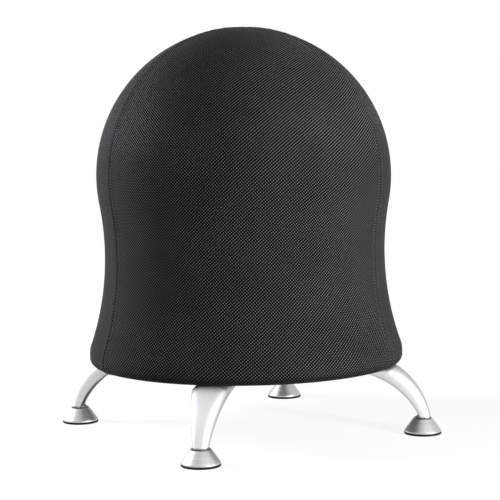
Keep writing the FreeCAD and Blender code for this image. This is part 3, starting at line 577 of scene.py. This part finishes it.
def angle_at(circle, height, side=1):
    """The angle in degrees of a height on a circle: beyond its top for side 1, before it for -1."""
    rise = height - circle[1]
    return math.degrees(math.atan2(rise, side * math.sqrt(circle[2] ** 2 - rise ** 2)))


def leg_line(lead, circle, start, count):
    """Points at even steps of length down one line of the leg: the lead, then the circle from an angle
    to the sole."""
    line = np.array([*lead, *arc_points(circle, start, angle_at(circle, LEG_SOLE), 300)])
    run = run_along(line)
    even = np.linspace(0, run[-1], count)
    return joined(np.interp(even, run, line[:, 0]), np.interp(even, run, line[:, 1]))


def leg_skin(ridge, edge, around, inset):
    """A skin from edge to ridge to edge. The superellipse's depth is the cosine to the power of 2 over
    LEG_POWER, and its width the sine to that power. inset narrows it on both sides."""
    depth = np.abs(np.cos(around)) ** (2 / LEG_POWER)
    reach = edge[:, None] + (ridge - edge)[:, None] * depth[None, :, None]
    height = reach[..., 1] - LEG_SOLE
    width = TOE_HALF_WIDTH + WIDTH_SLOPE * height + WIDTH_CURVE * height ** 2 - inset
    across = width * np.sign(np.sin(around)) * np.abs(np.sin(around)) ** (2 / LEG_POWER)
    return joined(reach[..., 0], across, reach[..., 1])


def cast_leg(where, turn):
    """An outer skin, an inner one within it, both closed at root and toe, and a lug across the toe for
    the stud. The faces of the inner skin and the lug take the second material, painted dark as the shade
    in the channel."""
    stations, columns = 90, 41
    around = np.radians(np.linspace(-90, 90, columns))
    ridge = leg_line([(LEG_ROOT, LEG_TOP)], RIDGE_ARC, angle_at(RIDGE_ARC, LEG_TOP), stations)
    edge = leg_line([], EDGE_ARC, angle_at(EDGE_ARC, EDGE_START, -1), stations)
    down = np.gradient(ridge, axis=0)
    inward = joined(down[:, 1], -down[:, 0]) / np.linalg.norm(down, axis=1)[:, None]
    wall = np.linspace(ROOT_WALL, TOE_WALL, stations)[:, None]
    outer = leg_skin(ridge, edge, around, 0.0)
    inner = leg_skin(ridge + inward * wall, edge, around, SIDE_WALL)
    inner[-1, :, 2] = LEG_SOLE
    loop = np.concatenate([outer, inner[:, ::-1]], axis=1)
    skin = grid_quads(stations, 2 * columns, around=True)[:, ::-1]
    j = np.arange(columns - 1)
    cap = joined(j, j + 1, 2 * columns - 2 - j, 2 * columns - 1 - j)
    caps = np.concatenate([cap, cap[:, ::-1] + (stations - 1) * 2 * columns])
    corners = [(4.0, LEG_SOLE), (9.0, LEG_SOLE), (9.0, 25.8), (4.0, 25.8), (4.0, LEG_SOLE)]
    profile = rounded_profile(corners, [0.2, 0.2, 0.1])
    lug = spun(profile[:, :1], profile[:, 1:], 40, (FOOT_RADIUS, 0))
    lug_quads = grid_quads(*lug.shape[:2], around=True) + loop[..., 0].size
    points = np.concatenate([loop.reshape(-1, 3), lug.reshape(-1, 3)]) * MM
    spin = math.radians(turn - 90)
    x = points[:, 0] * math.cos(spin) - points[:, 1] * math.sin(spin)
    y = points[:, 0] * math.sin(spin) + points[:, 1] * math.cos(spin)
    leg = mesh_piece(
        f"leg_{where}_cast", joined(x, y, points[:, 2]), np.concatenate([skin, caps, lug_quads]),
        "chair", stands_for=[f"leg_{where}"],
    )
    inside = (skin % (2 * columns)).min(axis=1) >= columns
    leg.data.materials.append(None)
    leg.data.materials.append(None)
    kinds = np.concatenate([inside, np.zeros(len(caps)), np.ones(len(lug_quads))]).astype(np.int32)
    leg.data.polygons.foreach_set("material_index", kinds)
    return leg


legs = {where: cast_leg(where, turn) for where, turn in LEGS.items()}
print("legs:", [(leg.name, len(leg.data.polygons)) for leg in legs.values()])

# %% [markdown]
# ## The feet
# Each leg ends on a levelling glide: a turned aluminium cone with a rubber pad pressed into it, screwed
# up by its stud. The cone was turned on a lathe, so its edges are slightly broken, and these are what
# catch the light. Cone and stud are profiles spun round the foot's axis. So is the nut, but its radius
# changes on the way round, to make six flats.

# %% Turn the feet
FOOT_COLUMNS = 72
STUD_RADIUS = 3.93
THREAD_PITCH, THREAD_DEPTH, THREAD_COLUMNS = 1.25, 0.55, 40
HALF_FLATS = 6.5


def foot_centre(turn):
    """Where a foot's axis stands: the foot circle's radius along the leg's own direction, in metres."""
    return np.array(outward(turn)[:2]) * FOOT_RADIUS * MM


def turned_cone(where, turn):
    """Outside up the lip and the slope, over the rounded top, down the stud's hole and back inside."""
    corners = [
        (23.7, 3.0), (26.2, 3.0), (26.2, 5.0), (14.0, 21.8), (4.0, 21.8),
        (4.0, 11.8), (18.8, 11.8), (23.7, 5.0), (23.7, 3.0),
    ]
    profile = rounded_profile(corners, [0.4, 0.5, 0.7, 0.3, 0.3, 0.8, 0.4]) * MM
    points = spun(profile[:, :1], profile[:, 1:], FOOT_COLUMNS, foot_centre(turn))
    return mesh_piece(
        f"cone_{where}_turned", points, grid_quads(*points.shape[:2], around=True), f"{where}_foot",
        stands_for=[f"cone_{where}"], weld=1e-7,
    )


def threaded_stud(where, turn):
    """A rod whose radius rises and falls with height over pitch less the turn round it, which makes one
    thread. It fades out at the flange and at the domed end."""
    low, high = 11.7, 32.8
    height = np.linspace(low + 0.4, high - 1.6, 160)
    phase = (height[:, None] / THREAD_PITCH - even_turns(THREAD_COLUMNS) / (2 * np.pi)) % 1
    depth = THREAD_DEPTH * (1 - np.abs(2 * phase - 1))
    fade = smooth_step(height, low + 1, low + 3) * (1 - smooth_step(height, high - 3.0, high - 1.6))
    flange = np.array([(0.0, 8.7), (8.6, 8.7), (9.0, 9.1), (9.0, 11.3), (8.6, low), (STUD_RADIUS, low)])
    dome = np.array([(STUD_RADIUS, high - 1.55), (3.4, high - 0.8), (2.2, high - 0.2), (0.0, high)])
    ring = np.ones(THREAD_COLUMNS)
    radius = np.concatenate([
        flange[:, :1] * ring, STUD_RADIUS - depth * fade[:, None], dome[:, :1] * ring,
    ])
    height = np.concatenate([flange[:, 1], height, dome[:, 1]])[:, None]
    points = spun(MM * radius, MM * height, THREAD_COLUMNS, foot_centre(turn))
    return mesh_piece(
        f"stud_{where}_threaded", points, grid_quads(*points.shape[:2], around=True), f"{where}_stud",
        stands_for=[f"stud_{where}"], weld=1e-7,
    )


def hex_nuts():
    """Four thin nuts. Round the axis the radius is half the flats over the cosine of the turn from the
    nearest flat's middle, held down at top and bottom by a chamfer's cone."""
    columns = 96
    flats = HALF_FLATS / np.cos((even_turns(columns) + np.pi / 6) % (np.pi / 3) - np.pi / 6)
    height = np.array([25.8, 25.8, 26.05, 26.5, 27.8, 29.1, 29.55, 29.8, 29.8])[:, None]
    chamfer = np.array([4.02, 6.3, 6.9, 7.6, 7.6, 7.6, 6.9, 6.3, 4.02])[:, None]
    radius = np.minimum(flats, chamfer)
    radius, height = np.concatenate([radius, radius[:1]]), np.concatenate([height, height[:1]])
    points, quads = [], []
    for number, turn in enumerate(LEGS.values()):
        nut = spun(MM * radius, MM * height, columns, foot_centre(turn))
        points.append(nut.reshape(-1, 3))
        quads.append(grid_quads(*nut.shape[:2], around=True) + number * nut[..., 0].size)
    return mesh_piece(
        "glide_nuts_hex", np.concatenate(points), np.concatenate(quads), "chair",
        stands_for=["glide_nuts"], weld=1e-7, smooth=False,
    )


cones = {where: turned_cone(where, turn) for where, turn in LEGS.items()}
studs = {where: threaded_stud(where, turn) for where, turn in LEGS.items()}
nuts = hex_nuts()
print("feet:", len(cones), "cones,", len(studs), "studs,", len(nuts.data.polygons), "nut quads")

# %% [markdown]
# ## Finishes
# A finish is a material made of nodes. Colours and numbers that are the same all over sit on the
# shader's own sockets, and only what changes over the surface is wired in: weave, grain, rings. These
# helpers add a node and join it up in one line. Each gives back a socket, so they can be nested.

# %% Helpers for finishes


def new_finish(name, **sockets):
    """A material whose shader has these sockets set; an underscore in a name stands for a space."""
    material = bpy.data.materials.new(name)
    material.use_nodes = True
    shader = material.node_tree.nodes["Principled BSDF"]
    for socket, value in sockets.items():
        shader.inputs[socket.replace("_", " ")].default_value = value
    return material, material.node_tree, shader


def add(tree, kind, inputs=(), output=0, **settings):
    """A node with its settings, its inputs set or linked, and one of its outputs returned."""
    made = tree.nodes.new(kind)
    for name, value in settings.items():
        setattr(made, name, value)
    for socket, value in inputs:
        if isinstance(value, bpy.types.NodeSocket):
            tree.links.new(value, made.inputs[socket])
        else:
            made.inputs[socket].default_value = value
    return made.outputs[output]


def calc(tree, operation, *values):
    """One step of arithmetic on numbers and sockets."""
    return add(tree, "ShaderNodeMath", list(enumerate(values)), operation=operation)


def split(tree, place):
    """The three numbers of a place, as sockets."""
    made = tree.nodes.new("ShaderNodeSeparateXYZ")
    tree.links.new(place, made.inputs[0])
    return made.outputs


def ramp(tree, value, low, high, start=0.0, end=1.0):
    """A smooth change from start to end as value goes from low to high."""
    return add(
        tree, "ShaderNodeMapRange", [(0, value), (1, low), (2, high), (3, start), (4, end)],
        interpolation_type="SMOOTHSTEP",
    )


def mixed(tree, share, first, second):
    """A colour part of the way from the first to the second."""
    return add(tree, "ShaderNodeMix", [(0, share), (6, first), (7, second)], output=2, data_type="RGBA")


def scaled(tree, colour, light):
    """A colour times a number that varies."""
    return add(tree, "ShaderNodeVectorMath", [(0, colour), (1, light)], operation="MULTIPLY")


def noise(tree, place, scale, detail=3.0, roughness=0.55):
    """Soft random blotches, from 0 to 1."""
    return add(tree, "ShaderNodeTexNoise", [
        ("Vector", place), ("Scale", scale), ("Detail", detail), ("Roughness", roughness),
    ])


def wave(tree, value, pitch):
    """A sine of the value, with one full wave in each pitch."""
    return calc(tree, "SINE", calc(tree, "MULTIPLY", value, 2 * math.pi / pitch))


def feed(tree, shader, **sockets):
    """Wires what varies into a shader's sockets, which are named as for new_finish."""
    for socket, value in sockets.items():
        tree.links.new(value, shader.inputs[socket.replace("_", " ")])


def bump(tree, shader, height, distance, strength=1.0):
    """Tilts the surface as if it rose by the distance where height goes from 0 to 1."""
    inputs = [("Height", height), ("Distance", distance), ("Strength", strength)]
    feed(tree, shader, Normal=add(tree, "ShaderNodeBump", inputs))


def object_place(tree):
    """The place of each point in the piece's own axes, which are the chair's."""
    return add(tree, "ShaderNodeTexCoord", output="Object")


def cloth_map(tree):
    """The cloth map, and its two distances in metres: across and along."""
    place = add(tree, "ShaderNodeUVMap", uv_map="cloth")
    across, along, _ = split(tree, place)
    return place, across, along


def dress(material, *things):
    """Puts a finish on pieces and CAD nodes."""
    for thing in things:
        if not thing.material_slots:
            thing.data.materials.append(None)
        for slot in thing.material_slots:
            slot.material = material


print("finish helpers ready")

# %% [markdown]
# ## Spacer mesh
# The cover's cloth is a knitted spacer mesh: bright knots of yarn round small dark holes, which stand
# in staggered rows. The product of two cosines, one across and one down, gives just that: it peaks at
# every hole, with each row of holes half a pitch along from the last. It is also the mean of two
# slanted waves. Over the dome the cloth is pulled on the slant, one way on the left and the other on
# the right, so there one wave is made stronger. The holes are sunk and painted nearly black, as painted
# shade in their depth. The yarn is ribbed by its loops, painted lightest on its raised knots and darker
# down its slopes into the holes, as painted light and shade. The cloth is painted darker towards the
# hem, as painted shade where it turns under.

# %% Knit the spacer mesh
HOLE_PITCH_ACROSS = 4.43 * MM
HOLE_PITCH_DOWN = 4.6 * MM
LOOP_PITCH = 0.75 * MM
LEAN_MIDDLE, LEAN_REACH, LEAN_LOW, LEAN_HIGH = -0.055, 0.13, 0.35, 0.46
# painted shade: between these two heights the cloth is painted darker towards the hem, as the shade where
# it turns under
HEM_SHADE_FULL, HEM_SHADE_END = 0.102, 0.113
YARN = (0.103, 0.099, 0.109)
# painted shade: the colour of the holes, nearly black for the shade in their depth
HOLE_SHADE = (0.0006, 0.0006, 0.0008, 1.0)


def staggered_holes(tree, across, down, lean):
    """One at the middle of each hole and minus one on the knots between. The cosine of one angle times
    that of another is the mean of the cosines of their sum and their difference. The lean, from -1 to
    1, takes more of one of these two and less of the other, and so draws the holes out on a slant."""
    first = calc(tree, "MULTIPLY", across, 2 * math.pi / HOLE_PITCH_ACROSS)
    second = calc(tree, "MULTIPLY", down, 2 * math.pi / HOLE_PITCH_DOWN)
    rising = calc(tree, "COSINE", calc(tree, "SUBTRACT", first, second))
    falling = calc(tree, "COSINE", calc(tree, "ADD", first, second))
    inputs = [(0, lean), (1, -1.0), (2, 1.0), (3, falling), (4, rising)]
    return add(tree, "ShaderNodeMapRange", inputs, clamp=False)


def knit_mesh():
    """Holes and knots in the cloth map, with a slow wander and soft patches so that none look alike."""
    material, tree, shader = new_finish(
        "black_spacer_mesh", Specular_IOR_Level=0.11, Sheen_Weight=0.02, Sheen_Roughness=0.4,
        Sheen_Tint=(0.85, 0.82, 1.0, 1.0),
    )
    place, across, down = cloth_map(tree)
    wander = calc(tree, "MULTIPLY", calc(tree, "SUBTRACT", noise(tree, place, 45.0), 0.5), 0.8 * MM)
    height = split(tree, object_place(tree))[2]
    side = ramp(tree, across, LEAN_MIDDLE - LEAN_REACH, LEAN_MIDDLE + LEAN_REACH, 0.9, -0.9)
    lean = calc(tree, "MULTIPLY", side, ramp(tree, height, LEAN_LOW, LEAN_HIGH, 0.0, 0.85))
    holes = staggered_holes(tree, calc(tree, "ADD", across, wander), down, lean)
    # painted shade: the holes and the slopes round them take the near-black colour, and the bump also
    # sinks them
    hole_depth_and_shade = ramp(tree, holes, -0.9, 0.0)
    loops = wave(tree, down, LOOP_PITCH)
    patches = ramp(tree, noise(tree, place, 9.0), 0.3, 0.7, 0.85, 1.15)
    # painted light and shade: the yarn is painted lighter on its raised knots and darker down its slopes
    # into the holes
    knots = ramp(tree, holes, -1.0, 0.1, 1.3, 0.8)
    ribs = calc(tree, "MULTIPLY_ADD", loops, 0.12, 1.0)
    # painted shade: the cloth's colour falls to 0.3 of itself at the hem, for the shade where it turns
    # under
    hem = ramp(tree, height, HEM_SHADE_FULL, HEM_SHADE_END, 0.3, 1.0)
    knit = calc(tree, "MULTIPLY", knots, patches)
    light = calc(tree, "MULTIPLY", knit, calc(tree, "MULTIPLY", ribs, hem))
    colour = mixed(tree, hole_depth_and_shade, scaled(tree, YARN, light), HOLE_SHADE)
    feed(tree, shader, Base_Color=colour, Roughness=ramp(tree, hole_depth_and_shade, 0.0, 1.0, 0.52, 1.0))
    relief = calc(tree, "SUBTRACT", calc(tree, "MULTIPLY", loops, 0.06), hole_depth_and_shade)
    bump(tree, shader, relief, 0.45 * MM, 0.6)
    return material


spacer_mesh = knit_mesh()
dress(spacer_mesh, *panels)
print("cover dressed in", spacer_mesh.name)

# %% [markdown]
# ## Thread, woven cloth and tape
# Thread is a tight twist, so its bump is a fine slanted stripe. The bottom cloth and the zip's tape are
# plain weaves: yarns across pass over yarns down in a checkerboard, which is the sign of the product of
# two sines.

# %% Twist the thread and weave the cloths


def twist_thread():
    """Stripes where the sum of a point's three distances is the same."""
    material, tree, shader = new_finish(
        "black_thread", Base_Color=(0.045, 0.043, 0.047, 1), Roughness=0.5, Sheen_Weight=0.15,
    )
    x, y, z = split(tree, object_place(tree))
    slant = calc(tree, "ADD", calc(tree, "ADD", x, y), z)
    bump(tree, shader, wave(tree, slant, 0.45 * MM), 0.05 * MM)
    return material


def weave_cloth(name, colour, pitch):
    """A plain weave of yarns one pitch apart. They are lighter where the product of the sines is more
    than nothing, and higher where it is far from nothing."""
    material, tree, shader = new_finish(name, Roughness=0.8, Specular_IOR_Level=0.3, Sheen_Weight=0.2)
    place, across, down = cloth_map(tree)
    over = calc(tree, "MULTIPLY", wave(tree, across, 2 * pitch), wave(tree, down, 2 * pitch))
    shade = ramp(tree, noise(tree, place, 60.0), 0.3, 0.7, 0.8, 1.2)
    light = calc(tree, "MULTIPLY", shade, ramp(tree, over, -1.0, 1.0, 0.75, 1.15))
    feed(tree, shader, Base_Color=scaled(tree, colour, light))
    bump(tree, shader, calc(tree, "ABSOLUTE", over), 0.15 * MM)
    return material


dress(twist_thread(), stitches)
dress(weave_cloth("black_lining", (0.018, 0.018, 0.019), 0.9 * MM), bottom_cloth)
dress(weave_cloth("black_tape", (0.022, 0.022, 0.023), 0.5 * MM), zip_tape)
print("thread, lining and tape done")

# %% [markdown]
# ## Silver legs
# The legs are cast and given a satin silver finish: bright and soft, with a faint unevenness from
# polishing. A metal's look comes from what it mirrors, so the material has little in it: a light colour
# with painted shade where the surface turns away, which the Layer Weight node tells, a roughness that
# wanders slightly, and a very shallow bump. Inside the channel the metal is painted darker and is
# duller: painted shade in the hollow.

# %% Finish the legs


def satin_silver(name, face, edge_shade, low, high):
    """A soft metal, painted darker where it turns away, as painted shade. The roughness wanders between
    low and high.
    """
    material, tree, shader = new_finish(name, Metallic=1.0)
    place = object_place(tree)
    turned = add(tree, "ShaderNodeLayerWeight", [("Blend", 0.5)], output="Facing")
    # painted shade: the colour goes from the face colour to the darker edge colour as the surface turns
    # away from view
    colour = mixed(tree, ramp(tree, turned, 0.45, 1.0), (*face, 1), (*edge_shade, 1))
    cloud = noise(tree, place, 40.0)
    feed(tree, shader, Base_Color=colour, Roughness=ramp(tree, cloud, 0.3, 0.7, low, high))
    bump(tree, shader, noise(tree, place, 320.0, 4.0), 0.02 * MM, 0.5)
    return material


def turned_aluminium(where, turn):
    """Fine rings round the foot's own axis: a wave of the distance from it, which Mapping centres."""
    material, tree, shader = new_finish(f"turned_aluminium_{where}", Metallic=1.0, Roughness=0.45)
    x, y = foot_centre(turn)
    inputs = [("Vector", object_place(tree)), ("Location", (-x, -y, 0.0))]
    place = add(tree, "ShaderNodeMapping", inputs)
    from_axis = split(tree, place)
    squares = [calc(tree, "POWER", from_axis[axis], 2.0) for axis in (0, 1)]
    distance = calc(tree, "SQRT", calc(tree, "ADD", *squares))
    rings = wave(tree, distance, 0.55 * MM)
    coarse = noise(tree, add(tree, "ShaderNodeCombineXYZ", [(0, distance)]), 900.0, 2.0)
    tone = ramp(tree, coarse, 0.3, 0.7, 0.42, 0.54)
    inputs = [(0, tone), (1, tone), (2, calc(tree, "MULTIPLY", tone, 1.02))]
    feed(tree, shader, Base_Color=add(tree, "ShaderNodeCombineColor", inputs))
    bump(tree, shader, calc(tree, "ADD", rings, coarse), 0.02 * MM, 0.6)
    return material


# painted shade: the second colour given to each finish is the darker colour painted at its edges
silver = satin_silver("satin_silver", (0.62, 0.62, 0.627), (0.30, 0.30, 0.305), 0.60, 0.68)
# painted shade: the inside of the channel and the lug are painted dark for the shade in the hollow
channel_shade = satin_silver("shaded_channel_metal", (0.22, 0.22, 0.225), (0.12, 0.12, 0.12), 0.55, 0.65)
for leg in legs.values():
    leg.data.materials[0], leg.data.materials[1] = silver, channel_shade
for where, turn in LEGS.items():
    dress(turned_aluminium(where, turn), cones[where])
print("legs and cones done")

# %% [markdown]
# ## Rubber, nylon, steel and wood
# The small parts get plain finishes. Rubber is dark and rough with a fine grain. Nylon is smoother.
# Zinc-plated steel is bright with cloudy patches, the nuts are blackened, and the zip's slider is
# enamelled. The board is plywood: long grain on its faces and thin plies on its edge.

# %% Finish the small parts
ROUGHNESS_SPREAD = 0.08
PLY = 2.6 * MM


def grained(name, colour, roughness, grain_scale, grain_depth, **sockets):
    """A finish with a wandering roughness and a fine grain, for moulded and plated surfaces."""
    material, tree, shader = new_finish(name, Base_Color=(*colour, 1), **sockets)
    place = object_place(tree)
    cloud = noise(tree, place, grain_scale / 6)
    low, high = roughness - ROUGHNESS_SPREAD, roughness + ROUGHNESS_SPREAD
    feed(tree, shader, Roughness=ramp(tree, cloud, 0.3, 0.7, low, high))
    bump(tree, shader, noise(tree, place, grain_scale, 4.0), grain_depth, 0.7)
    return material


def plywood():
    """Stretched noise for the grain, and a wave of the height for the plies."""
    material, tree, shader = new_finish("birch_plywood", Roughness=0.55)
    inputs = [("Vector", object_place(tree)), ("Scale", (14.0, 2.0, 60.0))]
    grain = noise(tree, add(tree, "ShaderNodeMapping", inputs), 8.0, 6.0, 0.65)
    height = split(tree, object_place(tree))[2]
    plies = wave(tree, height, PLY)
    share = calc(tree, "MULTIPLY", calc(tree, "ADD", plies, 1.6), calc(tree, "MULTIPLY", grain, 0.45))
    feed(tree, shader, Base_Color=mixed(tree, share, (0.62, 0.46, 0.29, 1), (0.36, 0.22, 0.11, 1)))
    bump(tree, shader, grain, 0.15 * MM)
    return material


rubber = grained("black_rubber", (0.007, 0.007, 0.0075), 0.62, 1600.0, 0.08 * MM, Specular_IOR_Level=0.15)
nylon = grained("black_nylon", (0.018, 0.018, 0.02), 0.4, 900.0, 0.03 * MM)
grey_nylon = grained("grey_nylon", (0.075, 0.075, 0.08), 0.45, 900.0, 0.03 * MM)
zinc = grained("bright_zinc", (0.66, 0.66, 0.67), 0.3, 700.0, 0.02 * MM, Metallic=1.0)
black_steel = grained("blackened_steel", (0.09, 0.09, 0.095), 0.42, 800.0, 0.03 * MM, Metallic=1.0)
enamel = grained(
    "black_enamel", (0.02, 0.02, 0.021), 0.25, 500.0, 0.02 * MM, Coat_Weight=0.4, Coat_Roughness=0.1,
)
vinyl = grained("grey_vinyl", (0.25, 0.26, 0.28), 0.38, 300.0, 0.05 * MM)
dress(rubber, *(nodes[f"pad_{where}"] for where in LEGS), nodes["ball_mat"])
dress(nylon, zip_coil, nodes["base_rim"])
dress(grey_nylon, *(nodes[f"collar_{where}"] for where in LEGS))
dress(zinc, *studs.values(), nodes["leg_bolts"], nodes["leg_washers"], nodes["tee_nuts"])
dress(black_steel, nuts)
dress(enamel, nodes["zip_slider"], nodes["zip_tab"], nodes["zip_stops"])
dress(vinyl, ball)
dress(grained("white_plug", (0.75, 0.75, 0.73), 0.35, 400.0, 0.03 * MM), nodes["ball_plug"])
dress(plywood(), nodes["base_board"])
print("small parts done")

# %% [markdown]
# ## Floor, light and background
# The chair stands on a white floor before a white background. Camera rays, and mirror rays with them,
# see white, while the light that falls on the chair comes from four lamps: a small low box on the
# right, which puts a soft spot on the mesh, a weak one high in front, and two faintly blue ones on the
# left, one high and one low, which edge the cloth and the legs.

# %% Light the set
FLOOR_SIZE = 12.0
FLOOR_GLOW, FLOOR_SHOWN, FLOOR_GREY = 0.88, 0.25, 0.3
GLOW_RISES, GLOW_WHITE = 0.4, 1.1
LAMP_AIM = Vector((0, 0, 0.32))


def seen_directly(tree):
    """One for rays from the camera or from a mirror or glass surface, and nothing for the rest."""
    rays = tree.nodes.new("ShaderNodeLightPath").outputs
    seen = calc(tree, "MAXIMUM", rays["Is Camera Ray"], rays["Is Glossy Ray"])
    return calc(tree, "MAXIMUM", seen, rays["Is Transmission Ray"])


def make_floor():
    """A wide flat square. Seen directly, it glows a little short of white, and the lamps' light on it
    makes up the rest except in the shadow. Away from the chair the glow rises to white by itself. For
    the light that it throws back at the chair, it is a plain grey."""
    half = FLOOR_SIZE / 2
    corners = [(-half, -half, 0), (half, -half, 0), (half, half, 0), (-half, half, 0)]
    mesh = bpy.data.meshes.new("floor")
    mesh.from_pydata(corners, [], [(0, 1, 2, 3)])
    floor = bpy.data.objects.new("floor", mesh)
    bpy.context.collection.objects.link(floor)
    material, tree, shader = new_finish(
        "white_floor", Base_Color=(*[FLOOR_GREY] * 3, 1), Roughness=0.9, Specular_IOR_Level=0.1,
    )
    inputs = [(0, object_place(tree))]
    away = add(tree, "ShaderNodeVectorMath", inputs, output="Value", operation="LENGTH")
    strength = ramp(tree, away, GLOW_RISES, GLOW_WHITE, FLOOR_GLOW, 1.0)
    glow = add(tree, "ShaderNodeEmission", [("Strength", strength)])
    pale = add(tree, "ShaderNodeBsdfDiffuse", [(0, (*[FLOOR_SHOWN] * 3, 1))])
    shown = add(tree, "ShaderNodeAddShader", [(0, glow), (1, pale)])
    inputs = [(0, seen_directly(tree)), (1, shader.outputs[0]), (2, shown)]
    tree.links.new(add(tree, "ShaderNodeMixShader", inputs), tree.nodes["Material Output"].inputs[0])
    dress(material, floor)


def light_world():
    """White where it is seen directly, and nearly dark for the light that falls on the chair."""
    world = bpy.data.worlds.new("studio")
    world.use_nodes = True
    bpy.context.scene.world = world
    tree = world.node_tree
    colour = mixed(tree, seen_directly(tree), (0.05, 0.05, 0.05, 1), (1.0, 1.0, 1.0, 1))
    feed(tree, tree.nodes["Background"], Color=colour)


def soft_box(name, turn, height, distance, width, tall, watts, colour=(1, 1, 1)):
    """A rectangular lamp at a turn round the chair, pointed at its middle."""
    lamp = bpy.data.lights.new(name, "AREA")
    lamp.shape = "RECTANGLE"
    lamp.size, lamp.size_y, lamp.energy, lamp.color = width, tall, watts, colour
    holder = bpy.data.objects.new(name, lamp)
    holder.location = outward(turn) * distance + Vector((0, 0, height))
    holder.rotation_euler = (LAMP_AIM - holder.location).to_track_quat("-Z", "Y").to_euler()
    bpy.context.collection.objects.link(holder)
    return holder


make_floor()
light_world()
lamps = [
    soft_box("key_box", VIEW_TURN + 49, 0.25, 1.6, 0.15, 0.35, 29),
    soft_box("front_box", VIEW_TURN + 20, 1.3, 1.8, 0.5, 0.8, 4),
    soft_box("left_box", VIEW_TURN - 95, 1.0, 1.8, 0.5, 0.8, 29, (0.95, 0.94, 1.0)),
    soft_box("low_left_box", VIEW_TURN - 115, 0.35, 1.9, 0.5, 0.8, 11, (0.92, 0.92, 1.0)),
]
bpy.context.scene.view_settings.view_transform = "Standard"
print("lamps:", [(lamp.name, lamp.data.energy) for lamp in lamps])
